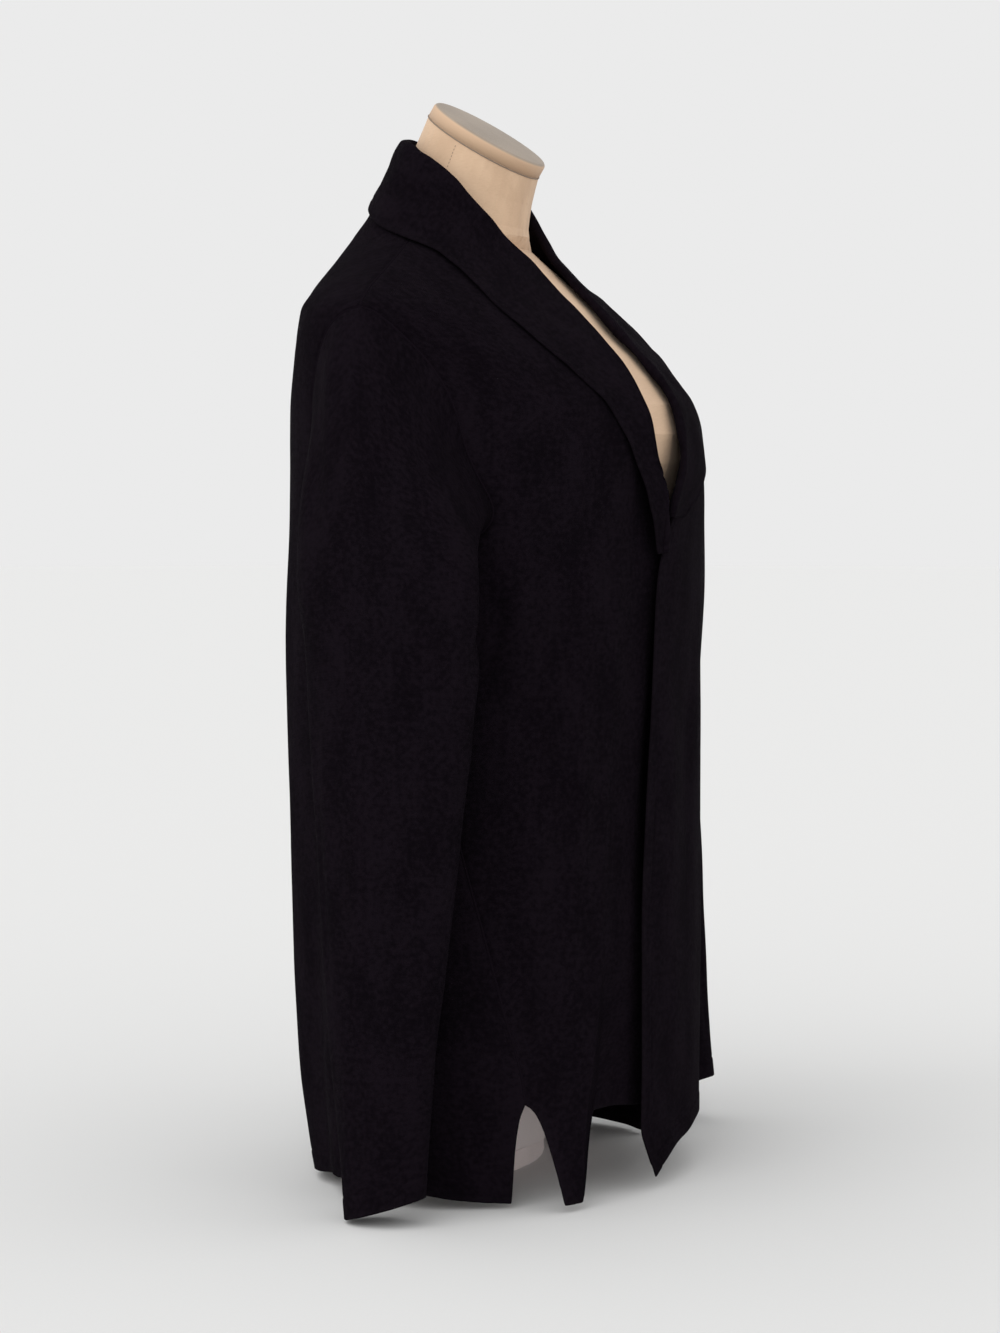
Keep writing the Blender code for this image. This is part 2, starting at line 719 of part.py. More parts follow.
def build_cap(skin):
    """The neck's cap: a low disc with eased edges, square to the neck."""
    forward, height, wide, deep, tilt = NECK[-1]
    lean = math.radians(tilt)
    up = np.array((0.0, -math.sin(lean), math.cos(lean)))
    ahead = np.array((0.0, -math.cos(lean), -math.sin(lean)))
    aside = np.array((1.0, 0.0, 0.0))
    foot = np.array((0.0, -forward, height)) + SEAM * up
    profile = ((0.0000, 0.985), (0.0008, 1.000), (0.0085, 1.000), (0.0103, 0.985), (0.0112, 0.950))
    count = 32
    points = []
    for rise, scale in profile:
        for k in range(count):
            turn = 2 * math.pi * k / count
            points.append(
                foot + rise * up + scale * (wide * math.sin(turn) * aside + deep * math.cos(turn) * ahead)
            )
    faces = []
    for r in range(len(profile) - 1):
        for c in range(count):
            a, b = r * count + c, r * count + (c + 1) % count
            faces.append((a, b, b + count, a + count))
    faces.append(tuple(range(count)))
    faces.append(tuple(reversed(range(len(points) - count, len(points)))))
    return solid("form_neck_cap", points, faces, skin)


def build_foot(paint):
    """A plain oval foot, well inside the torso's lower edge."""
    profile = ((0.0000, 0.985), (0.0015, 1.000), (0.0160, 1.000), (0.0177, 0.980))
    count = 32
    points = []
    for rise, scale in profile:
        for k in range(count):
            turn = 2 * math.pi * k / count
            points.append((0.095 * scale * math.sin(turn), 0.040 + 0.058 * scale * math.cos(turn), rise))
    faces = []
    for r in range(len(profile) - 1):
        for c in range(count):
            a, b = r * count + c, r * count + (c + 1) % count
            faces.append((a, b, b + count, a + count))
    faces.append(tuple(range(count)))
    faces.append(tuple(reversed(range(len(points) - count, len(points)))))
    return solid("form_foot", points, faces, paint)


def build():
    clear_scene()
    group = bpy.data.collections.new("long_cardigan")
    bpy.context.scene.collection.children.link(group)
    knit = {
        name: material(name, (0.0078, 0.0062, 0.0082), 0.85)
        for name in ("back_knit", "right_front_knit", "left_front_knit", "right_sleeve_knit",
                     "left_sleeve_knit", "collar_knit")
    }
    build_back(knit["back_knit"])
    build_fronts(knit["right_front_knit"])
    bpy.data.objects["front_left"].data.materials[0] = knit["left_front_knit"]
    build_sleeve("sleeve_right", -1, RIGHT_SLEEVE, knit["right_sleeve_knit"])
    build_sleeve("sleeve_left", 1, LEFT_SLEEVE, knit["left_sleeve_knit"])
    build_collar(knit["collar_knit"])
    build_torso(material("form_skin", (0.62, 0.53, 0.47), 0.65))
    build_cap(material("neck_cap_skin", (0.56, 0.46, 0.39), 0.60))
    build_foot(material("foot_paint", (0.50, 0.44, 0.40), 0.60))


build()
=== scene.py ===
import math

import bpy
import numpy as np
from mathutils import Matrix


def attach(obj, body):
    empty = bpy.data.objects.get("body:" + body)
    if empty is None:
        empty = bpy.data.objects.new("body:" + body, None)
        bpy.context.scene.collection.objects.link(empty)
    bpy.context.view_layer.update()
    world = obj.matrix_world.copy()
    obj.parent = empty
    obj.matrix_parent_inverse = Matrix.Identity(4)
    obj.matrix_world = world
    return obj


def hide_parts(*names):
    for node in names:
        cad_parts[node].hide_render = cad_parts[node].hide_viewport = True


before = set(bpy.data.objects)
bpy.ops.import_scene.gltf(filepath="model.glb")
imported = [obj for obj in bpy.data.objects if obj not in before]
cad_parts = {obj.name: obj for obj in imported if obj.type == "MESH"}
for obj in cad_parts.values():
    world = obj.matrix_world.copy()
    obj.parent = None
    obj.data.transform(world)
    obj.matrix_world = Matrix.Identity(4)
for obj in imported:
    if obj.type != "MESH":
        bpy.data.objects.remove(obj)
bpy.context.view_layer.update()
print("frame loaded")

# shared measures, in metres and degrees
cut = dict(
    wall=0.0018,  # thickness of the knit
    seam=0.0003,  # gap between two panels
    backHem=0.0035,  # heights of the hems
    rightHem=0.0065,
    leftHem=0.010,
    ventTop=0.078,
    underarm=0.462,
    shoulderTip=0.646,
    backNeckRise=0.0300,  # how much higher the neckline is at the back than at the side
    sideNeck=0.7065,
    roundness=0.94,  # under 1 the sections are slightly boxy
    flapRise=0.063,  # how much higher the turned-back flap's hem hangs
    leftRise=0.032,  # the same away from the left front's lower corner
    foldRadius=0.010,
    flapSway=0.0030,
    rippleTight=0.00022,  # height of the small ripples over the chest, and how much higher below it
    rippleLoose=0.00075,
    perDegree=0.0031,  # cloth in one degree round the body, for the creases
    backLifts=((0.80, 0.13, 0.013), (0.22, 0.10, 0.008)),  # where the back's hem hangs higher: place, spread, rise
    rightFlare=0.020,  # how far the cloth swings out beside each vent
    leftFlare=0.012,
)

# the small ripples: longest and shortest wave, and how much longer they run upright than across
bodyRipples = dict(seed=7, longest=0.11, shortest=0.026, upright=6.0)
flapRipples = dict(seed=21, longest=0.10, shortest=0.05, upright=5.0)

# half widths in degrees, the forward drag near the underarm, and how full the oval is below and above its middle
armholeShape = dict(front=21.0, back=25.0, drag=13.5, dragAt=0.486, dragSpread=0.034, roundness=(0.62, 0.60))

# height, half width, front reach, back reach, depth of the widest line
garmentRows = np.array([
    (0.000, 0.168, 0.139, -0.132, -0.010),
    (0.030, 0.171, 0.142, -0.137, -0.010),
    (0.080, 0.174, 0.143, -0.143, -0.010),
    (0.160, 0.178, 0.143, -0.146, -0.010),
    (0.260, 0.182, 0.142, -0.149, -0.010),
    (0.360, 0.184, 0.142, -0.151, -0.012),
    (0.450, 0.184, 0.143, -0.154, -0.015),
    (0.500, 0.183, 0.143, -0.153, -0.019),
    (0.530, 0.183, 0.142, -0.152, -0.021),
    (0.555, 0.183, 0.138, -0.151, -0.025),
    (0.578, 0.185, 0.130, -0.149, -0.028),
    (0.605, 0.188, 0.108, -0.144, -0.030),
    (0.628, 0.189, 0.084, -0.139, -0.034),
    (0.646, 0.184, 0.064, -0.135, -0.036),
    (0.660, 0.165, 0.048, -0.132, -0.038),
    (0.675, 0.134, 0.031, -0.129, -0.040),
    (0.690, 0.103, 0.016, -0.125, -0.042),
    (0.705, 0.076, 0.004, -0.119, -0.045),
    (0.720, 0.063, -0.002, -0.109, -0.047),
    (0.732, 0.055, -0.008, -0.103, -0.048),
    (0.745, 0.042, -0.018, -0.093, -0.048),
])

# main folds: angle at the top, angle at the hem, top height, foot height, width in degrees, depth
mainFolds = (
    (-38.0, -50.0, 0.50, 0.12, 7.0, 0.0050),
    (-104.0, -112.0, 0.42, -0.20, 10.0, 0.0060),
    (-140.0, -146.0, 0.50, -0.20, 11.0, 0.0050),
    (-122.0, -129.0, 0.40, -0.20, 8.0, -0.0050),
    (172.0, 176.0, 0.40, -0.20, 12.0, -0.0030),
    (142.0, 148.0, 0.46, -0.20, 11.0, 0.0050),
    (110.0, 118.0, 0.40, -0.20, 10.0, 0.0050),
    (58.0, 62.0, 0.40, -0.20, 9.0, -0.0050),
    (24.0, 28.0, 0.48, -0.20, 8.0, -0.0040),
)

# side seam and the edges of its vent: height, angle
sideSeam = np.array([(0.000, 57.3), (0.078, 57.3), (0.150, 63.0), (0.260, 73.0), (0.360, 82.0), (0.462, 90.0)])
frontVent = np.array([
    (0.000, 47.6), (0.030, 49.7), (0.050, 51.4), (0.065, 53.2), (0.0735, 55.0), (0.0772, 56.7), (0.078, 57.3),
])
backVent = np.array([(0.000, 61.0), (0.040, 60.2), (0.065, 59.0), (0.078, 57.3)])

# right front edge: height, angle of its fold, cloth turned in past the fold, how far it turns
rightEdge = np.array([
    (0.000, -44.0, 0.108, 26.0),
    (0.050, -41.5, 0.090, 23.5),
    (0.100, -38.0, 0.078, 21.0),
    (0.155, -35.8, 0.074, 19.5),
    (0.260, -33.8, 0.076, 18.0),
    (0.360, -31.2, 0.075, 17.5),
    (0.430, -29.0, 0.068, 17.0),
    (0.460, -28.3, 0.064, 17.0),
    (0.490, -28.0, 0.057, 17.0),
    (0.515, -27.5, 0.047, 15.0),
    (0.535, -26.5, 0.034, 11.0),
    (0.555, -25.5, 0.015, 4.5),
    (0.577, -22.8, 0.001, 0.0),
    (0.610, -23.2, 0.001, 0.0),
    (0.650, -27.0, 0.001, 0.0),
    (0.670, -34.0, 0.001, 0.0),
    (0.690, -45.5, 0.001, 0.0),
    (0.702, -67.0, 0.001, 0.0),
    (0.707, -88.0, 0.001, 0.0),
])

# left front edge: height, angle
leftEdge = np.array([
    (0.000, -11.0),
    (0.010, -13.0),
    (0.030, -17.5),
    (0.050, -20.0),
    (0.180, -19.0),
    (0.260, -18.0),
    (0.360, -15.5),
    (0.430, -14.5),
    (0.450, -13.5),
    (0.466, -12.0),
    (0.480, -10.0),
    (0.493, -8.0),
    (0.508, -5.5),
    (0.525, -2.5),
    (0.545, 2.0),
    (0.577, 7.5),
    (0.610, 11.0),
    (0.650, 14.5),
    (0.670, 23.0),
    (0.690, 41.0),
    (0.702, 66.0),
    (0.707, 88.0),
])

# creases: points as angle and height, width, depth (a trough is negative)
bodyCreases = (
    (((-118.0, 0.655), (-130.0, 0.640), (-140.0, 0.622)), 0.0060, -0.0010),
    (((-112.0, 0.668), (-126.0, 0.654), (-140.0, 0.642)), 0.0070, 0.0012),
    (((-60.0, 0.640), (-60.0, 0.600), (-62.0, 0.560)), 0.0060, -0.0010),
    (((-48.0, 0.640), (-50.0, 0.590), (-52.0, 0.530), (-50.0, 0.470)), 0.0110, 0.0012),
    (((118.0, 0.655), (131.0, 0.638), (143.0, 0.616)), 0.0065, -0.0010),
    (((60.0, 0.645), (58.0, 0.600), (61.0, 0.550)), 0.0070, -0.0010),
    (((-66.0, 0.452), (-62.0, 0.430), (-64.0, 0.400), (-67.0, 0.370)), 0.0060, -0.0030),
    (((-60.0, 0.465), (-56.0, 0.430), (-57.0, 0.390)), 0.0080, 0.0022),
    (((64.0, 0.455), (60.0, 0.425), (63.0, 0.380)), 0.0070, -0.0028),
    (((-108.0, 0.458), (-116.0, 0.425), (-124.0, 0.385)), 0.0080, -0.0026),
    (((107.0, 0.458), (117.0, 0.420), (124.0, 0.372)), 0.0085, -0.0028),
    (((-52.0, 0.330), (-54.0, 0.250), (-57.0, 0.170)), 0.0120, 0.0022),
    (((-45.0, 0.300), (-47.0, 0.220), (-50.0, 0.120)), 0.0080, -0.0020),
    (((-40.0, 0.360), (-40.0, 0.300), (-42.0, 0.230)), 0.0090, 0.0016),
    (((-4.0, 0.380), (-6.0, 0.280), (-8.0, 0.160)), 0.0100, 0.0018),
    (((6.0, 0.430), (3.0, 0.330), (2.0, 0.200)), 0.0090, -0.0018),
    (((40.0, 0.350), (43.0, 0.240), (45.0, 0.120)), 0.0110, 0.0024),
    (((-158.0, 0.560), (-160.0, 0.500), (-157.0, 0.430)), 0.0120, 0.0018),
    (((157.0, 0.540), (160.0, 0.470), (158.0, 0.390)), 0.0120, -0.0020),
    (((-166.0, 0.330), (-167.0, 0.230), (-170.0, 0.110)), 0.0130, -0.0026),
    (((130.0, 0.300), (134.0, 0.200), (135.0, 0.090)), 0.0110, -0.0026),
    (((-150.0, 0.260), (-152.0, 0.170), (-154.0, 0.060)), 0.0090, 0.0020),
)


def easing(t):  # shares of the start, the way out, the end and the way in along a smooth curve
    return 2 * t**3 - 3 * t**2 + 1, t**3 - 2 * t**2 + t, 3 * t**2 - 2 * t**3, t**3 - t**2


def rowAt(table, at):  # the table's other columns at this value of its first one
    at = np.asarray(at, float)
    keys = table[:, 0]
    steps = np.diff(table[:, 1:], axis=0) / np.diff(keys)[:, None]
    slopes = np.zeros_like(table[:, 1:])
    slopes[0], slopes[-1] = steps[0], steps[-1]
    before, after = steps[:-1], steps[1:]
    same = before * after > 0
    slopes[1:-1] = np.where(same, 2 * before * after / np.where(same, before + after, 1.0), 0.0)
    k = np.clip(np.searchsorted(keys, at) - 1, 0, len(keys) - 2)
    span = (keys[k + 1] - keys[k])[..., None]
    t = (at - keys[k])[..., None] / span
    start, leave, end, arrive = easing(t)
    curve = start * table[k, 1:] + leave * span * slopes[k] + end * table[k + 1, 1:] + arrive * span * slopes[k + 1]
    low = table[0, 1:] + slopes[0] * (at - keys[0])[..., None]
    high = table[-1, 1:] + slopes[-1] * (at - keys[-1])[..., None]
    return np.where(t < 0, low, np.where(t > 1, high, curve))


def smooth(low, high, value):
    t = np.clip((np.asarray(value, float) - low) / (high - low), 0.0, 1.0)
    return t * t * (3 - 2 * t)


def hill(distance, width):  # 1 at the middle, gone beyond about twice the width
    return np.exp(-((distance / width) ** 2))


def eased(grid, times):  # rows drawn towards their neighbours, apart from the first and the last
    for _ in range(times):
        grid[1:-1] = 0.25 * grid[:-2] + 0.5 * grid[1:-1] + 0.25 * grid[2:]
    return grid


def unit(vectors):
    return vectors / np.maximum(np.linalg.norm(vectors, axis=-1, keepdims=True), 1e-12)


def outOf(angle):  # level direction away from the body at this angle
    way = np.radians(np.asarray(angle, float))
    return np.stack((np.sin(way), -np.cos(way), np.zeros_like(way)), axis=-1)


def oval(section, angle, height):
    width, front, back, middle = np.moveaxis(section, -1, 0)
    across, along = np.sin(np.radians(angle)), np.cos(np.radians(angle))
    reach = np.where(along > 0, front - middle, middle - back)
    x = width * np.copysign(np.abs(across) ** cut["roundness"], across)
    forward = middle + reach * np.copysign(np.abs(along) ** cut["roundness"], along)
    return np.stack((x, -forward, np.broadcast_to(height, x.shape)), axis=-1)


def foldDepth(angle, height):
    depth = np.zeros(np.broadcast(angle, height).shape)
    for topAngle, footAngle, top, foot, width, most in mainFolds:
        share = (height - cut["backHem"]) / (top - cut["backHem"])
        turn = (angle - footAngle - (topAngle - footAngle) * share + 180) % 360 - 180
        fade = np.where(height < top, smooth(0, 0.16, top - height), 0.0)
        if foot > 0:
            fade = fade * smooth(foot, foot + 0.12, height)
        depth = depth + most * fade * hill(turn, width)
    return depth


def ripples(point, seed, longest, shortest, upright, count=24):  # soft upright unevenness, about 1 at its strongest
    rng = np.random.default_rng(seed)
    total, power = np.zeros(point.shape[:-1]), 0.0
    for _ in range(count):
        length = longest * (shortest / longest) ** rng.random()
        heading, rise, phase = 2 * math.pi * rng.random(), rng.normal() / upright, 2 * math.pi * rng.random()
        pull = 2 * math.pi / length * np.array((math.cos(heading), math.sin(heading), rise))
        total = total + length**0.9 * np.sin(point @ pull + phase)
        power += length**1.8
    return total / math.sqrt(power)


def creaseDepth(angle, height, creases, perDegree):
    angle, height = np.broadcast_arrays(np.asarray(angle, float), np.asarray(height, float))
    depth = np.zeros(angle.shape)
    for points, width, most in creases:
        spans = [
            (((b[0] - a[0] + 180) % 360 - 180) * perDegree, b[1] - a[1]) for a, b in zip(points, points[1:])
        ]
        total = sum(math.hypot(*span) for span in spans)
        near, progress, run = np.full(angle.shape, 9.0), np.zeros(angle.shape), 0.0
        for (startAngle, startHeight), (sx, sy) in zip(points, spans):
            dx = ((angle - startAngle + 180) % 360 - 180) * perDegree
            dy = height - startHeight
            t = np.clip((dx * sx + dy * sy) / (sx * sx + sy * sy), 0, 1)
            far = np.hypot(dx - t * sx, dy - t * sy)
            progress = np.where(far < near, (run + t * math.hypot(sx, sy)) / total, progress)
            near = np.minimum(far, near)
            run += math.hypot(sx, sy)
        depth += most * hill(near, width) * np.sin(math.pi * np.clip(progress, 0.03, 0.97)) ** 0.7
    return depth


def plainGarment(angle, height):  # the cardigan's outer face with its main folds
    point = oval(rowAt(garmentRows, height), angle, height)
    return point + foldDepth(angle, height)[..., None] * outOf(angle)


def garment(angle, height):  # the same with the smaller creases
    angle, height = np.broadcast_arrays(np.asarray(angle, float), np.asarray(height, float))
    point = plainGarment(angle, height)
    loose = 1 - smooth(0.43, 0.55, height)
    depth = (cut["rippleTight"] + cut["rippleLoose"] * loose) * ripples(point, **bodyRipples)
    depth = depth + creaseDepth(angle, height, bodyCreases, cut["perDegree"])
    return point + depth[..., None] * outOf(angle)


def faceNormal(surface, a, b, stepA, stepB):
    alongA = surface(a + stepA, b) - surface(a - stepA, b)
    alongB = surface(a, b + stepB) - surface(a, b - stepB)
    return unit(np.cross(alongA, alongB))


def garmentNormal(angle, height):
    return faceNormal(plainGarment, angle, height, 0.4, 0.0008)


def garmentOut(angle, height, out):
    return plainGarment(angle, height) + out * garmentNormal(angle, height)


def seamLine(angles, heights):
    return garment(angles, heights), garmentNormal(angles, heights)


def armholeSpan():  # height of the armhole's middle, and how far it reaches up and down
    return (cut["underarm"] + cut["shoulderTip"]) / 2, (cut["shoulderTip"] - cut["underarm"]) / 2


def armholeHalf(height):  # half the armhole's width in degrees, ahead of the side line and behind it
    middle, reach = armholeSpan()
    part = np.minimum(np.abs(height - middle) / reach, 1.0)
    swell = (1 - part**2.6) ** np.where(height < middle, *armholeShape["roundness"])
    drag = armholeShape["drag"] * hill(height - armholeShape["dragAt"], armholeShape["dragSpread"]) * swell
    return armholeShape["front"] * swell + drag, armholeShape["back"] * swell


def sideLimit(height, ahead):  # angle where a panel ends: vent, side seam, armhole or shoulder seam
    vent = rowAt(frontVent if ahead else backVent, height)[..., 0]
    seam = rowAt(sideSeam, height)[..., 0]
    front, back = armholeHalf(height)
    hole = 90.0 - front if ahead else 90.0 + back
    choices = [height < cut["ventTop"], height < cut["underarm"], height > cut["shoulderTip"]]
    return np.select(choices, [vent, seam, np.full_like(seam, 90.0)], hole)


def seamDegrees(height):
    section = rowAt(garmentRows, height)
    near = np.minimum(section[..., 0], section[..., 1] - section[..., 3])
    return np.degrees(0.5 * cut["seam"] / near) * 1.25


def ventFlare(height, angle, most):
    low = np.clip(1 - height / cut["ventTop"], 0, 1) ** 1.3
    return most * hill(np.abs(angle) - 57.0, 24.0) * low


def neckRise(angle):
    return cut["backNeckRise"] * smooth(92.0, 150.0, 180.0 - np.abs(180.0 - angle % 360.0))


def rightFront(across, height):  # across: 0 at the side seam, 1 at the fold, 2 at the free edge
    flapRise = cut["flapRise"] * smooth(1.03, 1.12, across) * (1 - 0.10 * smooth(1.3, 2.0, across))
    height = height + (1 - smooth(cut["rightHem"], 0.2, height)) * flapRise
    foldAngle, turnedIn, turn = np.moveaxis(rowAt(rightEdge, height), -1, 0)
    start = -(sideLimit(height, True) - seamDegrees(height))

    def face(angle, kind=garment):
        return kind(angle, height) + ventFlare(height, angle, cut["rightFlare"])[..., None] * outOf(angle)

    flat = face(start + (foldAngle - start) * np.minimum(across, 1.0))
    edge = face(foldAngle)
    ahead = unit(face(foldAngle + 0.3, plainGarment) - face(foldAngle - 0.3, plainGarment))
    inward = np.stack((-ahead[..., 1], ahead[..., 0], np.zeros_like(across)), axis=-1)
    inward = inward * np.where(inward[..., 1:2] < 0, -1.0, 1.0)
    length = np.clip(across - 1, 0, 1) * turnedIn
    radius = cut["foldRadius"]
    bend = np.minimum(length / radius, np.radians(turn))
    rest = length - bend * radius
    sway = cut["flapSway"] * ripples(edge * 0.6 + length[..., None] * 0.8, **flapRipples) * smooth(0.01, 0.05, length)
    point = edge + radius * (np.sin(bend)[..., None] * ahead + (1 - np.cos(bend))[..., None] * inward)
    point = point + rest[..., None] * (np.cos(bend)[..., None] * ahead + np.sin(bend)[..., None] * inward)
    point = point + (sway * np.clip(turnedIn / 0.08, 0, 1))[..., None] * (ahead * 0.8 - inward * 0.4)
    return np.where((across <= 1)[..., None], flat, point)


def leftFront(across, height):  # across: 0 at the free edge, 1 at the side seam
    reach = 1 - (1 - np.clip(across / 0.6, 0.0, 1.0)) ** 2
    height = height + cut["leftRise"] * (1 - smooth(cut["leftHem"], 0.13, height)) * reach
    start = rowAt(leftEdge, height)[..., 0]
    end = sideLimit(height, True) - seamDegrees(height)
    angle = start + (end - start) * across
    return garment(angle, height) + ventFlare(height, angle, cut["leftFlare"])[..., None] * outOf(angle)


def backPanel(across, height):  # across: 0 at the left side, 1 at the right side
    limit = sideLimit(height, False) + seamDegrees(height)
    angle = limit + (360.0 - 2 * limit) * across
    tuck = -0.006 * hill(np.minimum(across, 1 - across), 0.06) * np.clip(1 - height / cut["ventTop"], 0, 1)
    height = height + neckRise(angle) * smooth(cut["shoulderTip"], cut["sideNeck"], height)
    lift = sum(most * hill(across - middle, spread) for middle, spread, most in cut["backLifts"])
    height = height + lift * (1 - smooth(cut["backHem"], 0.11, height))
    return garment(angle, height) + tuck[..., None] * outOf(angle)


def gridNormals(grid, closed=False):
    along = np.gradient(grid, axis=0)
    across = np.roll(grid, -1, axis=1) - np.roll(grid, 1, axis=1) if closed else np.gradient(grid, axis=1)
    return unit(np.cross(across, along))


def runs(grid, axis):  # length of cloth from the first row or column to each point
    steps = np.linalg.norm(np.diff(grid, axis=axis), axis=-1)
    first = np.zeros_like(steps[:1] if axis == 0 else steps[:, :1])
    return np.cumsum(np.concatenate((first, steps), axis=axis), axis=axis)


def stations(*parts):  # (start, end, step) runs of values, joined
    values = []
    for start, end, step in parts:
        count = max(1, round(abs(end - start) / step))
        values += [start + (end - start) * k / count for k in range(count)]
    return np.array(values + [parts[-1][1]])


def addMesh(name, points, faces, finish):
    mesh = bpy.data.meshes.new(name)
    mesh.from_pydata(points.tolist(), [], faces)
    mesh.materials.append(finish)
    mesh.shade_smooth()
    piece = bpy.data.objects.new(name, mesh)
    bpy.context.scene.collection.objects.link(piece)
    return piece


def register(piece, node=None):
    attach(piece, "root")
    if node:
        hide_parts(node)


def addCloth(name, outer, uv, finish, marks, closed=False):
    # outer: grid of points on the face, rows going up or along, columns going round
    # uv has one more column if closed
    rows, columns = outer.shape[:2]
    wide = columns if closed else columns - 1
    thick = cut["wall"]
    normals = gridNormals(outer, closed)
    inner = outer - thick * normals
    count = rows * columns
    r, c = np.meshgrid(np.arange(rows - 1), np.arange(wide), indexing="ij")
    a, b = r * columns + c, r * columns + (c + 1) % columns
    quads = np.stack((a, b, b + columns, a + columns), axis=-1).reshape(-1, 4)
    wideUv = uv.shape[1]
    ua, ub = r * wideUv + c, r * wideUv + c + 1
    quadUv = np.stack((ua, ub, ub + wideUv, ua + wideUv), axis=-1).reshape(-1, 4)
    faces, faceUv = [quads, quads[:, ::-1] + count], [quadUv, quadUv[:, ::-1]]
    if closed:
        ring = np.arange(columns)
        ringUv = np.arange(columns + 1)
        loops = [(ring, ringUv, 1), (ring + count - columns, ringUv + (rows - 1) * wideUv, -1)]
    else:
        path = [(0, k) for k in range(columns - 1)] + [(k, columns - 1) for k in range(rows - 1)]
        path += [(rows - 1, k) for k in range(columns - 1, 0, -1)] + [(k, 0) for k in range(rows - 1, 0, -1)]
        ring = np.array([k * columns + m for k, m in path])
        loops = [(ring, np.append(ring, ring[0]), 1)]
    points = [outer.reshape(-1, 3), inner.reshape(-1, 3)]
    made = 2 * count
    for ring, ringUv, way in loops:
        row, column = ring // columns, ring % columns
        backRow = np.where(row == 0, 1, np.where(row == rows - 1, rows - 2, row))
        backColumn = column
        if not closed:
            backColumn = np.where(column == 0, 1, np.where(column == columns - 1, columns - 2, column))
        away = unit(outer[row, column] - outer[backRow, backColumn])
        points.append(0.5 * (outer[row, column] + inner[row, column]) + 0.42 * thick * away)
        middle = made + np.arange(len(ring))
        made += len(ring)
        here, there = (ring, np.roll(ring, -1))[::way]
        midHere, midThere = (middle, np.roll(middle, -1))[::way]
        faces.append(np.stack((there, here, midHere, midThere), axis=-1))
        faces.append(np.stack((midThere, midHere, here + count, there + count), axis=-1))
        uvHere, uvThere = (ringUv[:-1], ringUv[1:])[::way]
        faceUv += [np.stack((uvThere, uvHere, uvHere, uvThere), axis=-1)] * 2
    points = np.concatenate(points)
    marks = np.concatenate((marks.ravel(), marks.ravel(), np.ones(len(points) - 2 * count)))
    piece = addMesh(name, points, np.concatenate(faces).tolist(), finish)
    faceUv = uv.reshape(-1, 2)[np.concatenate(faceUv)]
    piece.data.uv_layers.new(name="cloth").data.foreach_set("uv", np.asarray(faceUv, np.float32).ravel())
    piece.data.attributes.new("edgeMark", "FLOAT", "POINT").data.foreach_set("value", np.asarray(marks, np.float32))
    return piece


# how much thicker a hem is, how deep and wide its sewn line is, how softly it ends, and how far its edge rubs
hemLook = dict(thicker=0.00035, line=0.00045, lineWidth=0.0009, ease=0.0012, rubbed=0.0025)


def sewn(distance, depth=0.0008, width=0.0021):  # cloth drawn in beside a seam, by this much and this far
    return -depth * hill(distance, width)


def hemmed(distance, depth):  # a turned and linked edge: slightly thicker up to a shallow line
    thicker, line, ease = hemLook["thicker"], hemLook["line"], hemLook["ease"]
    return thicker * smooth(depth + ease, depth - ease, distance) - line * hill(distance - depth, hemLook["lineWidth"])


def startGroup(name, inputs, outputs):  # a group that works at Place, with these values and results
    group = bpy.data.node_groups.new(name, "ShaderNodeTree")
    group.interface.new_socket(name="Place", in_out="INPUT", socket_type="NodeSocketVector")
    for label, value in inputs.items():
        group.interface.new_socket(name=label, in_out="INPUT", socket_type="NodeSocketFloat").default_value = value
    for label in outputs:
        group.interface.new_socket(name=label, in_out="OUTPUT", socket_type="NodeSocketFloat")
    start, end = group.nodes.new("NodeGroupInput"), group.nodes.new("NodeGroupOutput")
    return group, start.outputs, end.inputs


def put(tree, value, socket):
    if isinstance(value, bpy.types.NodeSocket):
        tree.links.new(value, socket)
    else:
        socket.default_value = value


def calc(tree, kind, *values):
    node = tree.nodes.new("ShaderNodeMath")
    node.operation = kind
    for k, value in enumerate(values):
        put(tree, value, node.inputs[k])
    return node.outputs[0]


def noise(tree, place, scale, detail=2.0, rough=0.5):
    node = tree.nodes.new("ShaderNodeTexNoise")
    put(tree, place, node.inputs["Vector"])
    put(tree, scale, node.inputs["Scale"])
    node.inputs["Detail"].default_value = detail
    node.inputs["Roughness"].default_value = rough
    return node.outputs["Fac"]


def stretched(tree, place, scale):
    node = tree.nodes.new("ShaderNodeMapping")
    put(tree, place, node.inputs["Vector"])
    node.inputs["Scale"].default_value = scale
    return node.outputs["Vector"]


def ramp(tree, value, low, high, start=0.0, end=1.0):
    node = tree.nodes.new("ShaderNodeMapRange")
    node.interpolation_type = "SMOOTHSTEP"
    put(tree, value, node.inputs["Value"])
    for label, amount in (("From Min", low), ("From Max", high), ("To Min", start), ("To Max", end)):
        put(tree, amount, node.inputs[label])
    return node.outputs["Result"]


def blendColour(tree, share, first, second):
    node = tree.nodes.new("ShaderNodeMix")
    node.data_type = "RGBA"
    put(tree, share, node.inputs["Factor"])
    for socket, colour in ((node.inputs[6], first), (node.inputs[7], second)):
        put(tree, (*colour, 1) if isinstance(colour, tuple) else colour, socket)
    return node.outputs[2]


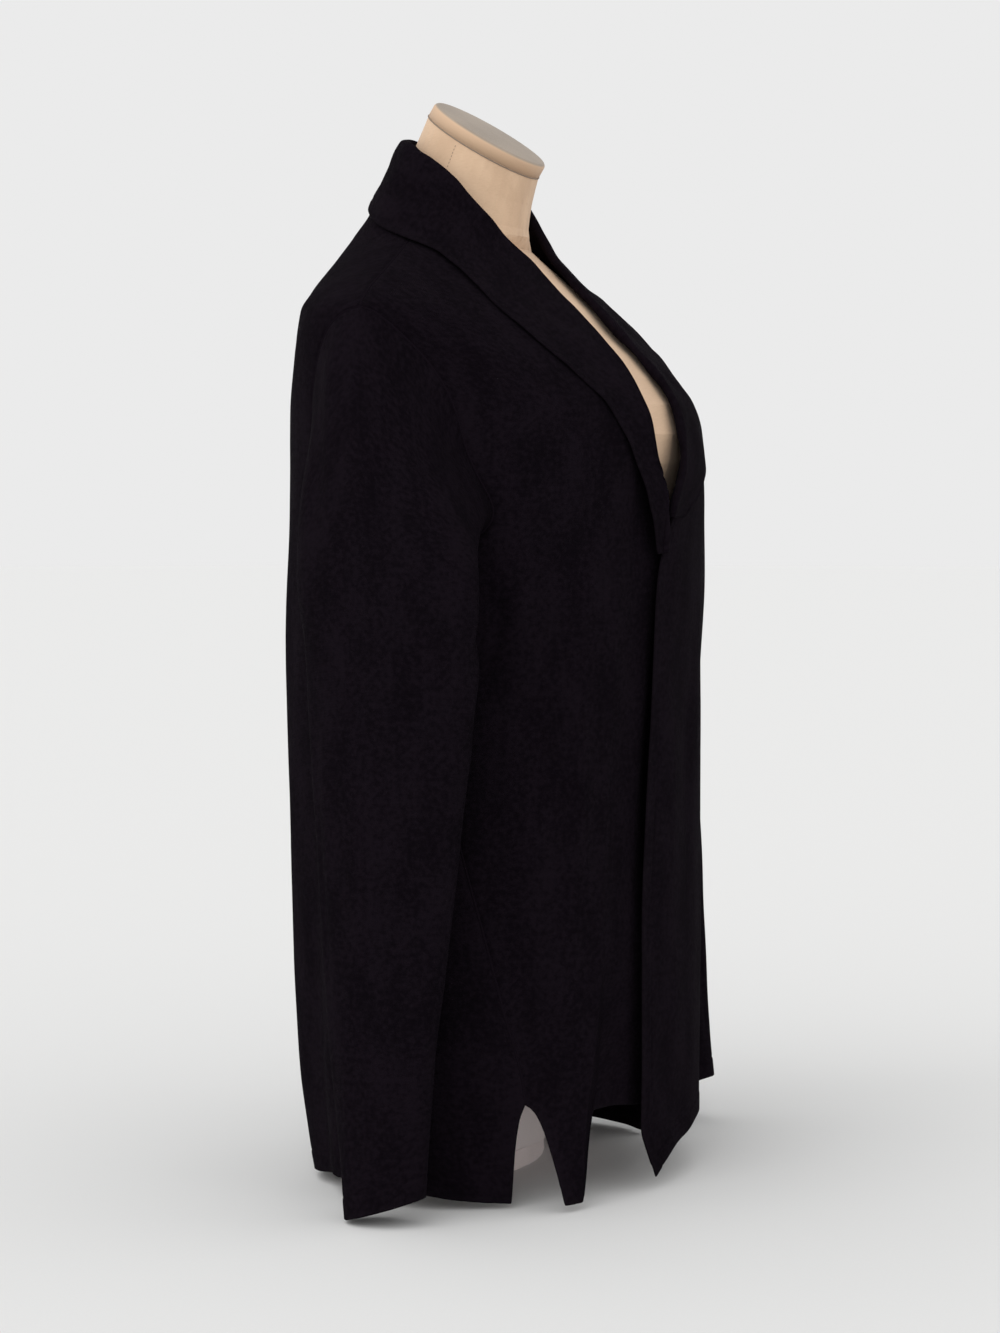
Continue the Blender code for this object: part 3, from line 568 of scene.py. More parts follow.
def buildFineKnit():  # plain knit: upright columns of small V stitches
    settings = {"Column Width": 0.0015, "Course Height": 0.0011, "Waver": 0.0004, "Fibre": 0.3}
    group, start, end = startGroup("fineKnit", settings, ("Height", "Tone"))
    place = start["Place"]
    split = group.nodes.new("ShaderNodeSeparateXYZ")
    put(group, place, split.inputs[0])
    drift = calc(group, "MULTIPLY", calc(group, "SUBTRACT", noise(group, place, 130.0), 0.5), start["Waver"])
    u = calc(group, "DIVIDE", calc(group, "ADD", split.outputs[0], drift), start["Column Width"])
    side = calc(group, "ABSOLUTE", calc(group, "SUBTRACT", calc(group, "FRACT", u), 0.5))
    v = calc(group, "DIVIDE", calc(group, "ADD", split.outputs[1], drift), start["Course Height"])
    rise = calc(group, "SUBTRACT", v, calc(group, "MULTIPLY", side, 1.5))
    course = calc(group, "MULTIPLY_ADD", calc(group, "SINE", calc(group, "MULTIPLY", rise, 2 * math.pi)), 0.5, 0.5)
    leg = calc(group, "SINE", calc(group, "MULTIPLY", side, 2 * math.pi))
    stitch = calc(group, "MULTIPLY", leg, calc(group, "MULTIPLY_ADD", course, 0.5, 0.5))
    fibre = noise(group, place, 2600.0, 3.0, 0.65)
    height = calc(group, "MULTIPLY_ADD", fibre, start["Fibre"], stitch)
    # painted shade: the tone is darker where the stitch relief sinks between the loops, plus random fibre tone
    stitchShadeAndTone = calc(group, "MULTIPLY_ADD", stitch, 0.6, calc(group, "MULTIPLY", fibre, 0.4))
    put(group, height, end["Height"])
    put(group, stitchShadeAndTone, end["Tone"])
    return group


def buildLint():  # a few tiny pale specks
    group, start, end = startGroup("lintSpecks", {"Spacing": 30.0, "Size": 0.012, "Share": 0.25}, ("Specks",))
    cells = group.nodes.new("ShaderNodeTexVoronoi")
    put(group, start["Place"], cells.inputs["Vector"])
    put(group, start["Spacing"], cells.inputs["Scale"])
    ragged = calc(group, "MULTIPLY", noise(group, start["Place"], 1800.0), 0.9)
    reach = calc(group, "MULTIPLY", start["Size"], calc(group, "ADD", ragged, 0.5))
    spot = calc(group, "LESS_THAN", cells.outputs["Distance"], reach)
    pick = group.nodes.new("ShaderNodeSeparateColor")
    put(group, cells.outputs["Color"], pick.inputs[0])
    chosen = calc(group, "LESS_THAN", pick.outputs[0], start["Share"])
    put(group, calc(group, "MULTIPLY", spot, chosen), end["Specks"])
    return group


def buildSoftPatches():  # broad uneven tone, longer upright than across
    group, start, end = startGroup("softPatches", {"Size": 22.0}, ("Tone",))
    long = stretched(group, start["Place"], (1.0, 0.45, 1.0))
    broad = noise(group, long, start["Size"], 3.0, 0.6)
    small = noise(group, start["Place"], 240.0, 3.0, 0.6)
    mixed = calc(group, "MULTIPLY_ADD", broad, 0.45, calc(group, "MULTIPLY", small, 0.55))
    put(group, ramp(group, mixed, 0.36, 0.64), end["Tone"])
    return group


def buildFineCanvas():  # close plain cover of the form: two sets of threads
    group, start, end = startGroup("fineCover", {"Thread": 0.00055}, ("Height", "Tone"))
    split = group.nodes.new("ShaderNodeSeparateXYZ")
    put(group, start["Place"], split.inputs[0])
    waves = []
    for k in (0, 1):
        turn = calc(group, "MULTIPLY", calc(group, "DIVIDE", split.outputs[k], start["Thread"]), 2 * math.pi)
        waves.append(calc(group, "MULTIPLY_ADD", calc(group, "SINE", turn), 0.5, 0.5))
    threads = calc(group, "MULTIPLY", waves[0], waves[1])
    slub = noise(group, stretched(group, start["Place"], (1.0, 4.0, 1.0)), 260.0, 3.0, 0.6)
    put(group, calc(group, "MULTIPLY_ADD", slub, 0.5, threads), end["Height"])
    broad = noise(group, start["Place"], 24.0, 3.0, 0.55)
    put(group, calc(group, "MULTIPLY_ADD", broad, 0.75, calc(group, "MULTIPLY", slub, 0.25)), end["Tone"])
    return group


fineKnit, lintSpecks, softPatches, fineCover = buildFineKnit(), buildLint(), buildSoftPatches(), buildFineCanvas()


def useGroup(tree, group, **values):
    node = tree.nodes.new("ShaderNodeGroup")
    node.node_tree = group
    for label, value in values.items():
        put(tree, value, node.inputs[label.replace("_", " ")])
    return node


def startMaterial(name, shown):
    finish = bpy.data.materials.new(name)
    finish.use_nodes = True
    finish.diffuse_color = (*shown, 1)
    tree = finish.node_tree
    return finish, tree, tree.nodes["Principled BSDF"]


def finishShader(tree, shader, colour, rough, height, relief, depth, **values):
    # height: where the surface stands up, by depth metres at full relief
    bump = tree.nodes.new("ShaderNodeBump")
    bump.inputs["Strength"].default_value = relief
    bump.inputs["Distance"].default_value = depth
    put(tree, height, bump.inputs["Height"])
    put(tree, bump.outputs["Normal"], shader.inputs["Normal"])
    put(tree, colour, shader.inputs["Base Color"])
    put(tree, rough, shader.inputs["Roughness"])
    for label, value in values.items():
        shader.inputs[label.replace("_", " ")].default_value = value


def ownPlace(tree):  # the piece's own coordinates
    return tree.nodes.new("ShaderNodeTexCoord").outputs["Object"]


def knitMaterial(name, look):
    finish, tree, shader = startMaterial(name, look["dark"])
    uv = tree.nodes.new("ShaderNodeUVMap")
    uv.uv_map = "cloth"
    place = uv.outputs["UV"]
    knit = useGroup(tree, fineKnit, Place=place, Column_Width=look["column"], Course_Height=look["course"],
                    Waver=look["waver"], Fibre=look["fibre"])
    patch = useGroup(tree, softPatches, Place=place, Size=look["patch"])
    lint = useGroup(tree, lintSpecks, Place=place, Spacing=look["lintSpacing"], Size=0.018, Share=look["lintShare"])
    # painted shade: the knit's stitch tone darkens the colour between the loops, and the patches add random tone
    stitchShadeAndTone = calc(tree, "MULTIPLY_ADD", knit.outputs["Tone"], 0.55, calc(tree, "MULTIPLY", patch.outputs["Tone"], 0.45))
    colour = blendColour(tree, ramp(tree, stitchShadeAndTone, 0.1, 0.9), look["dark"], look["light"])
    edge = tree.nodes.new("ShaderNodeAttribute")
    edge.attribute_name = "edgeMark"
    worn = calc(tree, "MULTIPLY", edge.outputs["Fac"], look["edgeWear"])
    colour = blendColour(tree, worn, colour, look["edge"])
    colour = blendColour(tree, calc(tree, "MULTIPLY", lint.outputs["Specks"], 0.75), colour, look["lint"])
    rough = ramp(tree, stitchShadeAndTone, 0.1, 0.9, look["rough"] + 0.06, look["rough"] - 0.05)
    finishShader(tree, shader, colour, rough, knit.outputs["Height"], look["relief"], 0.0004,
                 Sheen_Weight=look["sheen"], Sheen_Roughness=0.42, Sheen_Tint=(0.82, 0.74, 0.86, 1),
                 Specular_IOR_Level=0.010)
    return finish


knitLook = dict(
    dark=(0.0033, 0.0023, 0.0036), light=(0.0086, 0.0059, 0.0090), edge=(0.010, 0.0075, 0.010), edgeWear=0.25,
    lint=(0.10, 0.095, 0.095), lintSpacing=21.0, lintShare=0.12, column=0.0015, course=0.0011, waver=0.0005,
    fibre=0.35, patch=36.0, rough=0.92, relief=0.75, sheen=0.003,
)


def finishEdges(grid, seamLeft, seamRight, hem, sideHem):
    # draws the cloth in beside its seams, thickens its hems, and marks where its edges rub
    left, up = runs(grid, 1), runs(grid, 0)
    right, down = left[:, -1:] - left, up[-1:] - up
    depth = sewn(left) * seamLeft + sewn(right) * seamRight + sewn(down) + hemmed(up, hem)
    depth = depth + hemmed(left, sideHem) * (1 - seamLeft) + hemmed(right, sideHem) * (1 - seamRight)
    marks = hill(up, hemLook["rubbed"])
    marks = np.maximum(marks, hill(left, hemLook["rubbed"]) * (1 - seamLeft))
    marks = np.maximum(marks, hill(right, hemLook["rubbed"]) * (1 - seamRight))
    return grid + depth[..., None] * gridNormals(grid), marks


def clothUv(grid, column):  # metres across from one column, metres up it
    across = runs(grid, 1)
    up = np.broadcast_to(runs(grid, 0)[:, column:column + 1], across.shape)
    return np.stack((across - across[:, column:column + 1], up), axis=-1)


def knitFor(name, settings):
    return knitMaterial(name, dict(knitLook, patch=settings["patch"]))


def bodyRows(hem):  # heights of the mesh's rows, closest at the hem, the armhole and the shoulder
    middle, reach = armholeSpan()
    armhole = middle - reach * np.cos(math.pi * np.arange(1, 52) / 52)
    fine = hem + 0.018
    low = stations((hem, fine, 0.0014), (fine, cut["ventTop"], 0.0030), (cut["ventTop"], cut["underarm"], 0.0043))
    high = stations((cut["shoulderTip"], 0.690, 0.0022), (0.690, cut["sideNeck"], 0.0010))
    return np.concatenate((low, armhole, high))


# the camera stands where the photograph was taken from
view = dict(place=(-2.28219, -0.96847, 0.53930), yaw=0.403812, pitch=-0.063767, lens=88.41)
bpy.ops.object.camera_add(location=view["place"])
camera = bpy.context.object
camera.name = "photoCamera"
camera.rotation_euler = (math.pi / 2 + view["pitch"], 0.0, view["yaw"] - math.pi / 2)
camera.data.sensor_fit = "VERTICAL"
camera.data.sensor_height = 36.0
camera.data.lens = view["lens"]
camera.data.clip_end = 60.0
bpy.context.scene.camera = camera

studio = dict(
    sky=(0.83, 0.83, 0.83), skyStrength=1.0,
    floor=(0.77, 0.77, 0.765), floorLow=(0.765, 0.765, 0.76), floorHigh=(0.785, 0.785, 0.78),
    lamps=(  # name, where it stands, how wide its light is in degrees, strength
        ("keyLamp", (-2.3, 0.5, 1.9), 60.0, 1.08),
        ("frontLamp", (-2.0, -1.5, 0.6), 60.0, 0.28),
    ),
)
bpy.context.scene.view_settings.view_transform = "Standard"
world = bpy.data.worlds.new("studioAir")
world.use_nodes = True
world.node_tree.nodes["Background"].inputs["Color"].default_value = (*studio["sky"], 1)
world.node_tree.nodes["Background"].inputs["Strength"].default_value = studio["skyStrength"]
bpy.context.scene.world = world
for name, place, spread, power in studio["lamps"]:
    lamp = bpy.data.lights.new(name, "SUN")
    lamp.angle, lamp.energy = math.radians(spread), power
    item = bpy.data.objects.new(name, lamp)
    item.location = place
    way = -np.array(place)
    flat = math.hypot(way[0], way[1])
    item.rotation_euler = (math.atan2(flat, -way[2]), 0.0, math.atan2(way[1], way[0]) - math.pi / 2)
    bpy.context.scene.collection.objects.link(item)

bpy.ops.object.select_all(action="DESELECT")
bpy.ops.mesh.primitive_circle_add(vertices=96, radius=14.0, fill_type="NGON")
floor = bpy.context.object
floor.name = "studioFloor"
floorFinish, tree, shader = startMaterial("palePaper", studio["floor"])
grain = noise(tree, ownPlace(tree), 400.0)
put(tree, blendColour(tree, grain, studio["floorLow"], studio["floorHigh"]), shader.inputs["Base Color"])
put(tree, 0.9, shader.inputs["Roughness"])
put(tree, 0.1, shader.inputs["Specular IOR Level"])
floor.data.materials.append(floorFinish)
print("camera, light and floor ready")

# the hip colour is the hip's pinker cover, painted much paler as light to lift the shade inside the vent
formLook = dict(
    skinPale=(0.74, 0.525, 0.355), skinDeep=(0.62, 0.425, 0.28), hipPinkAndPaintedLight=(0.95, 0.84, 0.82),
    capPale=(0.37, 0.305, 0.245), capDeep=(0.30, 0.245, 0.195),
    footPale=(0.95, 0.84, 0.82), footDeep=(0.88, 0.77, 0.75), thread=0.00060, rough=0.72, sheen=0.12,
    seamCord=(0.16, 0.115, 0.085), stitch=(0.36, 0.285, 0.23), cordRadius=0.00045,
)


def formMaterial(name, pale, deep, rough, sheen, relief, thread, rim=None, low=None):
    finish, tree, shader = startMaterial(name, pale)
    own = ownPlace(tree)
    split = tree.nodes.new("ShaderNodeSeparateXYZ")
    put(tree, own, split.inputs[0])
    turn = calc(tree, "ARCTAN2", split.outputs[0], calc(tree, "MULTIPLY", split.outputs[1], -1.0))
    place = tree.nodes.new("ShaderNodeCombineXYZ")
    put(tree, calc(tree, "MULTIPLY", turn, 0.055), place.inputs[0])
    put(tree, split.outputs[2], place.inputs[1])
    where = place.outputs[0]
    if rim:  # the cap's side is covered like the neck, and its top lies flat
        facing = tree.nodes.new("ShaderNodeNewGeometry")
        level = tree.nodes.new("ShaderNodeVectorMath")
        level.operation = "DOT_PRODUCT"
        lean = math.radians(neckSection["tilt"])
        put(tree, facing.outputs["Normal"], level.inputs[0])
        put(tree, (0.0, -math.sin(lean), math.cos(lean)), level.inputs[1])
        pick = tree.nodes.new("ShaderNodeMix")
        pick.data_type = "VECTOR"
        put(tree, ramp(tree, level.outputs["Value"], 0.55, 0.60), pick.inputs[0])
        put(tree, where, pick.inputs[4])
        put(tree, own, pick.inputs[5])
        where = pick.outputs[1]
    cover = useGroup(tree, fineCover, Place=where, Thread=thread)
    speck = useGroup(tree, lintSpecks, Place=own, Spacing=26.0, Size=0.010, Share=0.10)
    colour = blendColour(tree, ramp(tree, cover.outputs["Tone"], 0.32, 0.68), deep, pale)
    # painted shade: the cover is drawn towards its deep colour where its threads sink
    weaveHollowShade = calc(tree, "MULTIPLY_ADD", cover.outputs["Height"], -0.06, 0.06)
    colour = blendColour(tree, weaveHollowShade, colour, deep)
    colour = blendColour(tree, calc(tree, "MULTIPLY", speck.outputs["Specks"], 0.5), colour, (0.30, 0.24, 0.20))
    if rim:
        colour = blendColour(tree, ramp(tree, level.outputs["Value"], 0.35, 0.85), rim, colour)
    if low:  # painted light: the cover turns pinker towards the hip, and is painted much paler there to brighten the shade over the hip inside the vent
        colour = blendColour(tree, ramp(tree, split.outputs[2], 0.16, 0.10), colour, low)
    rough = ramp(tree, cover.outputs["Tone"], 0.2, 0.8, rough - 0.06, rough + 0.06)
    finishShader(tree, shader, colour, rough, cover.outputs["Height"], relief, 0.00012, Sheen_Weight=sheen,
                 Sheen_Roughness=0.5, Specular_IOR_Level=0.3)
    return finish


# the level neck seam under the cap: its middle, half width and depth, tilt, the cap's height and its eased edge
neckSection = dict(forward=-0.0200, height=0.7730, wide=0.0477, deep=0.0475, tilt=32.0, cap=0.0112, eased=0.0032)
skinFinish = formMaterial("formCover", formLook["skinPale"], formLook["skinDeep"], formLook["rough"], formLook["sheen"],
                          0.5, formLook["thread"], low=formLook["hipPinkAndPaintedLight"])
capFinish = formMaterial("capCover", formLook["capPale"], formLook["capDeep"], 0.66, 0.08, 0.5, formLook["thread"],
                         rim=formLook["skinDeep"])
footFinish = formMaterial("footPaint", formLook["footPale"], formLook["footDeep"], 0.55, 0.0, 0.15, 0.0021)
for node, finish in (("form_torso", skinFinish), ("form_foot", footFinish)):
    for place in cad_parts[node].material_slots:
        place.material = finish
print("dress form covered")


def threadMaterial(name, pale, deep, rough, shine=0.25):  # two-ply thread
    finish, tree, shader = startMaterial(name, pale)
    grain = noise(tree, ownPlace(tree), 1900.0, 3.0, 0.6)
    colour = blendColour(tree, grain, deep, pale)
    rough = ramp(tree, grain, 0.2, 0.8, rough - 0.08, rough + 0.08)
    finishShader(tree, shader, colour, rough, grain, 0.4, 0.0001, Specular_IOR_Level=shine)
    return finish


coverThread = threadMaterial("coverThread", formLook["stitch"], formLook["seamCord"], 0.75)


def seatOnNeck(item, lift, finish):
    lean = math.radians(neckSection["tilt"])
    item.rotation_euler = (lean, 0.0, 0.0)
    forward, height = neckSection["forward"] + lift * math.sin(lean), neckSection["height"] + lift * math.cos(lean)
    item.location = (0.0, -forward, height)
    bpy.ops.object.transform_apply()
    bpy.ops.object.shade_smooth()
    item.data.materials.append(finish)


def neckCap():  # the low padded disc that closes the neck
    bpy.ops.object.select_all(action="DESELECT")
    bpy.ops.mesh.primitive_cylinder_add(vertices=128, radius=1.0, depth=neckSection["cap"])
    disc = bpy.context.object
    disc.name = "neckCap"
    disc.scale = (neckSection["wide"], neckSection["deep"], 1.0)
    bpy.ops.object.transform_apply(location=False, rotation=False, scale=True)
    bpy.ops.object.mode_set(mode="EDIT")
    bpy.ops.mesh.select_all(action="DESELECT")
    bpy.ops.object.mode_set(mode="OBJECT")
    points = disc.data.vertices
    for edge in disc.data.edges:
        edge.select = all(points[k].co.z > 0 for k in edge.vertices)
    bpy.ops.object.mode_set(mode="EDIT")
    bpy.ops.mesh.select_mode(type="EDGE")
    bpy.ops.mesh.bevel(offset=neckSection["eased"], segments=5)
    bpy.ops.object.mode_set(mode="OBJECT")
    seatOnNeck(disc, 0.5 * neckSection["cap"] + 0.0003, capFinish)
    register(disc, "form_neck_cap")


neckCap()


def neckSeam():  # the cord sewn in under the cap
    bpy.ops.object.select_all(action="DESELECT")
    thin = formLook["cordRadius"] / neckSection["wide"]
    bpy.ops.mesh.primitive_torus_add(major_segments=120, minor_segments=8, major_radius=1.0, minor_radius=thin)
    cordRing = bpy.context.object
    cordRing.name = "neckSeamCord"
    cordRing.scale = (neckSection["wide"] * 1.002, neckSection["deep"] * 1.002, neckSection["wide"])
    bpy.ops.object.transform_apply(location=False, rotation=False, scale=True)
    seatOnNeck(cordRing, 0.0, coverThread)
    register(cordRing)


neckSeam()
print("neck finished")


def stitchShape():  # one short stitch, lying along X with Z up, 1 long
    bpy.ops.object.select_all(action="DESELECT")
    bpy.ops.mesh.primitive_uv_sphere_add(segments=6, ring_count=5, radius=0.5, rotation=(0.0, math.pi / 2, 0.0))
    shape = bpy.context.object
    bpy.ops.object.transform_apply()
    points = np.array([tuple(vertex.co) for vertex in shape.data.vertices])
    points[:, 1:] *= 0.30
    points[:, 2] -= 0.35 * points[:, 0] ** 2  # its ends go down into the cloth
    faces = [tuple(face.vertices) for face in shape.data.polygons]
    bpy.data.objects.remove(shape, do_unlink=True)
    return points, faces


stitchPoints, stitchFaces = stitchShape()


def seamRoll(seam, outward, radius, sunk, first):  # the cloth's two edges rolled in behind a seam
    along = unit(np.gradient(seam, axis=0))
    side = unit(np.cross(outward, along))
    turns = np.radians(np.arange(0.0, 360.0, 45.0))[None, :, None]
    spokes = np.cos(turns) * side[:, None] + np.sin(turns) * outward[:, None]
    rings = (seam - sunk * outward)[:, None] + radius * spokes
    count, around = len(seam), range(8)
    faces = []
    for r in range(count - 1):
        for c in around:
            a, b = first + 8 * r + c, first + 8 * r + (c + 1) % 8
            faces.append((a, b, b + 8, a + 8))
    faces.append(tuple(first + c for c in around)[::-1])
    faces.append(tuple(first + 8 * (count - 1) + c for c in around))
    return rings.reshape(-1, 3), faces


def sewStitches(name, lines, finish, slotName, length, spacing, sunk, slant, roll=None):
    # lines: points and outward directions along each seam, which the stitches cross at a slant
    # roll: how thick the rolled edges behind the seam are and how deep they lie
    points, faces = [], []
    total = 0
    for seam, outward in lines if roll else ():
        rolled, rolledFaces = seamRoll(seam, outward, *roll, total)
        points.append(rolled)
        faces += rolledFaces
        total += len(rolled)
    for seam, outward in lines:
        run = np.concatenate(((0.0,), np.cumsum(np.linalg.norm(np.diff(seam, axis=0), axis=1))))
        places = np.arange(0.5 * spacing, run[-1], spacing)
        here, way, out = (
            np.stack([np.interp(places, run, values[:, k]) for k in range(3)], axis=-1)
            for values in (seam, unit(np.gradient(seam, axis=0)), outward)
        )
        way, out = unit(way), unit(out)
        side = unit(np.cross(out, way))
        long = unit(side * math.cos(slant) + way * math.sin(slant))
        wide = np.cross(out, long)
        for centre, x, y, z in zip(here - sunk * out, long, wide, out):
            points.append(centre + length * (stitchPoints @ np.stack((x, y, z))))
            faces += [tuple(total + k for k in face) for face in stitchFaces]
            total += len(stitchPoints)
    piece = addMesh(name, np.concatenate(points), faces, finish)
    register(piece)
    return piece


# the neck's sections at the ends of the stitched line: forward, height, half width, half depth, tilt
neckSewing = dict(
    angle=-91.0, top=(-0.0200, 0.7730, 0.0477, 0.0475, 32.0), foot=(-0.0295, 0.7490, 0.0490, 0.0490, 25.0),
    length=0.0016, spacing=0.0026,
)


def sewNeck():  # the running stitches down the side of the neck
    share = np.linspace(0.12, 1.0, 12)[:, None]
    sections = np.array(neckSewing["top"]) * (1 - share) + np.array(neckSewing["foot"]) * share
    forward, height, wide, deep, tilt = sections.T
    turn, lean = math.radians(neckSewing["angle"]), np.radians(tilt)
    along = deep * math.cos(turn)
    line = np.stack((wide * math.sin(turn), -(forward + along * np.cos(lean)), height - along * np.sin(lean)), axis=-1)
    out = np.broadcast_to((math.sin(turn), -math.cos(turn), 0.0), line.shape)
    sewStitches("neckStitches", [(line, out)], coverThread, "form_skin", neckSewing["length"], neckSewing["spacing"],
                sunk=0.0, slant=math.pi / 2)


sewNeck()

# each panel: its flat cut and area, the size of its tone patches, its columns as (start, end, step) and the one that
# hangs plumb, its lowest row, the depth of its hems, and the heights above which its two long edges are sewn
toVent = (cut["ventTop"] - 0.002, cut["ventTop"] + 0.006)
backCut = dict(
    width=0.60, length=0.76, area=0.392, patch=38.0, plumb=0.504, foot=cut["backHem"], hems=(0.014, 0.010),
    columns=((0.0, 0.014, 0.0020), (0.014, 0.05, 0.004), (0.05, 0.95, 0.0078), (0.95, 0.986, 0.004),
             (0.986, 1.0, 0.0020)),
    sewn=(toVent, toVent),
)
rightFrontCut = dict(
    width=0.24, length=0.70, area=0.116, patch=34.0, plumb=1.0, foot=cut["rightHem"], hems=(0.014, 0.010),
    columns=((0.0, 0.05, 0.008), (0.05, 0.95, 0.020), (0.95, 1.22, 0.016), (1.22, 1.9, 0.034), (1.9, 2.0, 0.014)),
    sewn=(toVent, (0.466, 0.474)),
)
leftFrontCut = dict(
    width=0.30, length=0.70, area=0.168, patch=37.0, plumb=0.0, foot=cut["leftHem"], hems=(0.014, 0.010),
    columns=((0.0, 0.05, 0.007), (0.05, 0.95, 0.0165), (0.95, 1.0, 0.007)),
    sewn=((0.490, 0.500), toVent),
)


def makePanel(name, panel, settings, node):
    across = stations(*settings["columns"])
    a, h = np.meshgrid(across, bodyRows(settings["foot"]))
    edges = [smooth(*limits, h) for limits in settings["sewn"]]
    grid, marks = finishEdges(panel(a, h), *edges, *settings["hems"])
    column = int(np.argmin(np.abs(across - settings["plumb"])))
    piece = addCloth(name, grid, clothUv(grid, column), knitFor(name, settings), marks)
    register(piece, node)
    return piece


back = makePanel("backKnit", backPanel, backCut, "back")
print("back made")
rightFrontPiece = makePanel("rightFrontKnit", rightFront, rightFrontCut, "front_right")
leftFrontPiece = makePanel("leftFrontKnit", leftFront, leftFrontCut, "front_left")
print("fronts made")

# cloth in one degree round the arm, height of its ripples, its hem, how far it swings out at the underarm, how much
# less at the shoulder, and how strongly it leaves the armhole
sleeveShape = dict(perDegree=0.00095, ripple=0.00075, hem=0.015, outLow=1.5, less=1.1, leave=0.9)
sleeveRipples = dict(longest=0.10, shortest=0.024, upright=5.0)
rightSleeveCut = dict(width=0.33, length=0.64, area=0.144, patch=33.0, seed=31)
leftSleeveCut = dict(width=0.33, length=0.62, area=0.1415, patch=35.0, seed=32)

# the hanging part: height, centre across, centre forward, half thickness, half width
rightSleeveRows = np.array([
    (0.0115, -0.2190, -0.001, 0.020, 0.0295),
    (0.050, -0.2185, -0.002, 0.021, 0.0330),
    (0.100, -0.2180, -0.003, 0.022, 0.0375),
    (0.210, -0.2175, -0.001, 0.024, 0.0490),
    (0.290, -0.2180, 0.002, 0.026, 0.0565),
    (0.360, -0.2190, 0.004, 0.028, 0.0625),
    (0.410, -0.2200, 0.004, 0.030, 0.0655),
    (0.448, -0.2210, 0.002, 0.032, 0.0690),
])
leftSleeveRows = np.array([
    (0.027, 0.2185, 0.060, 0.020, 0.0285),
    (0.060, 0.2170, 0.054, 0.021, 0.0330),
    (0.110, 0.2165, 0.045, 0.022, 0.0385),
    (0.210, 0.2170, 0.030, 0.024, 0.0490),
    (0.290, 0.2180, 0.017, 0.026, 0.0560),
    (0.360, 0.2190, 0.009, 0.028, 0.0620),
    (0.410, 0.2200, 0.004, 0.030, 0.0650),
    (0.448, 0.2210, 0.002, 0.032, 0.0690),
])

# creases on the sleeves: points as turn (0 beside the body, 90 in front, 180 outside) and height, width, depth
rightSleeveCreases = (
    (((178.0, 0.610), (172.0, 0.560), (176.0, 0.500)), 0.0110, 0.0012),
    (((215.0, 0.600), (222.0, 0.550), (226.0, 0.480)), 0.0100, -0.0014),
    (((140.0, 0.590), (134.0, 0.530), (132.0, 0.470)), 0.0100, -0.0014),
    (((20.0, 0.450), (62.0, 0.430), (98.0, 0.392)), 0.0075, -0.0026),
    (((35.0, 0.420), (75.0, 0.392), (108.0, 0.350)), 0.0080, 0.0018),
    (((330.0, 0.455), (292.0, 0.430), (262.0, 0.385)), 0.0080, -0.0022),
    (((66.0, 0.352), (100.0, 0.340), (138.0, 0.346)), 0.0060, -0.0012),
    (((72.0, 0.318), (108.0, 0.310), (150.0, 0.318)), 0.0060, -0.0011),
    (((196.0, 0.400), (192.0, 0.300), (196.0, 0.190)), 0.0140, 0.0016),
    (((238.0, 0.380), (240.0, 0.260), (236.0, 0.130)), 0.0090, -0.0018),
    (((150.0, 0.300), (146.0, 0.200), (150.0, 0.110)), 0.0090, -0.0015),
    (((120.0, 0.240), (116.0, 0.160), (118.0, 0.080)), 0.0080, 0.0015),
    (((205.0, 0.150), (200.0, 0.090), (204.0, 0.040)), 0.0085, -0.0014),
    (((80.0, 0.150), (70.0, 0.100), (76.0, 0.050)), 0.0080, -0.0013),
)
leftSleeveCreases = (
    (((182.0, 0.605), (188.0, 0.550), (184.0, 0.490)), 0.0110, 0.0012),
    (((218.0, 0.590), (226.0, 0.540), (228.0, 0.470)), 0.0100, -0.0013),
    (((142.0, 0.600), (136.0, 0.540), (134.0, 0.480)), 0.0100, -0.0014),
    (((18.0, 0.455), (58.0, 0.432), (96.0, 0.398)), 0.0078, -0.0026),
    (((332.0, 0.452), (296.0, 0.424), (266.0, 0.376)), 0.0080, -0.0022),
    (((60.0, 0.362), (98.0, 0.346), (140.0, 0.352)), 0.0062, -0.0014),
    (((64.0, 0.326), (104.0, 0.316), (146.0, 0.326)), 0.0060, -0.0012),
    (((164.0, 0.390), (170.0, 0.290), (165.0, 0.180)), 0.0130, 0.0015),
    (((236.0, 0.370), (232.0, 0.250), (238.0, 0.140)), 0.0095, -0.0017),
    (((206.0, 0.260), (210.0, 0.180), (204.0, 0.090)), 0.0085, -0.0014),
    (((118.0, 0.260), (122.0, 0.170), (116.0, 0.080)), 0.0085, 0.0015),
    (((84.0, 0.160), (76.0, 0.110), (80.0, 0.060)), 0.0080, -0.0013),
)


def armholeRing(side, half=66):
    t = np.arange(half + 1) / half
    middle, reach = armholeSpan()
    up = middle - reach * np.cos(math.pi * t)
    down = up[::-1][1:-1]
    ahead, behind = armholeHalf(up)[0], armholeHalf(down)[1]
    angles = np.concatenate((90 - ahead + seamDegrees(up), 90 + behind - seamDegrees(down)))
    return side * angles, np.concatenate((up, down))


def sleeveRings(table, heights, turns):
    across, forward, thick, wide = (column[:, None] for column in np.moveaxis(rowAt(table, heights), -1, 0))
    inward = -np.copysign(1.0, across)
    ahead = wide * np.sin(turns)
    slant = 0.32 * ahead * smooth(0.10, 0.0, heights - 0.02)[:, None]
    return np.stack((across + inward * thick * np.cos(turns), -(forward + ahead), heights[:, None] + slant), axis=-1)


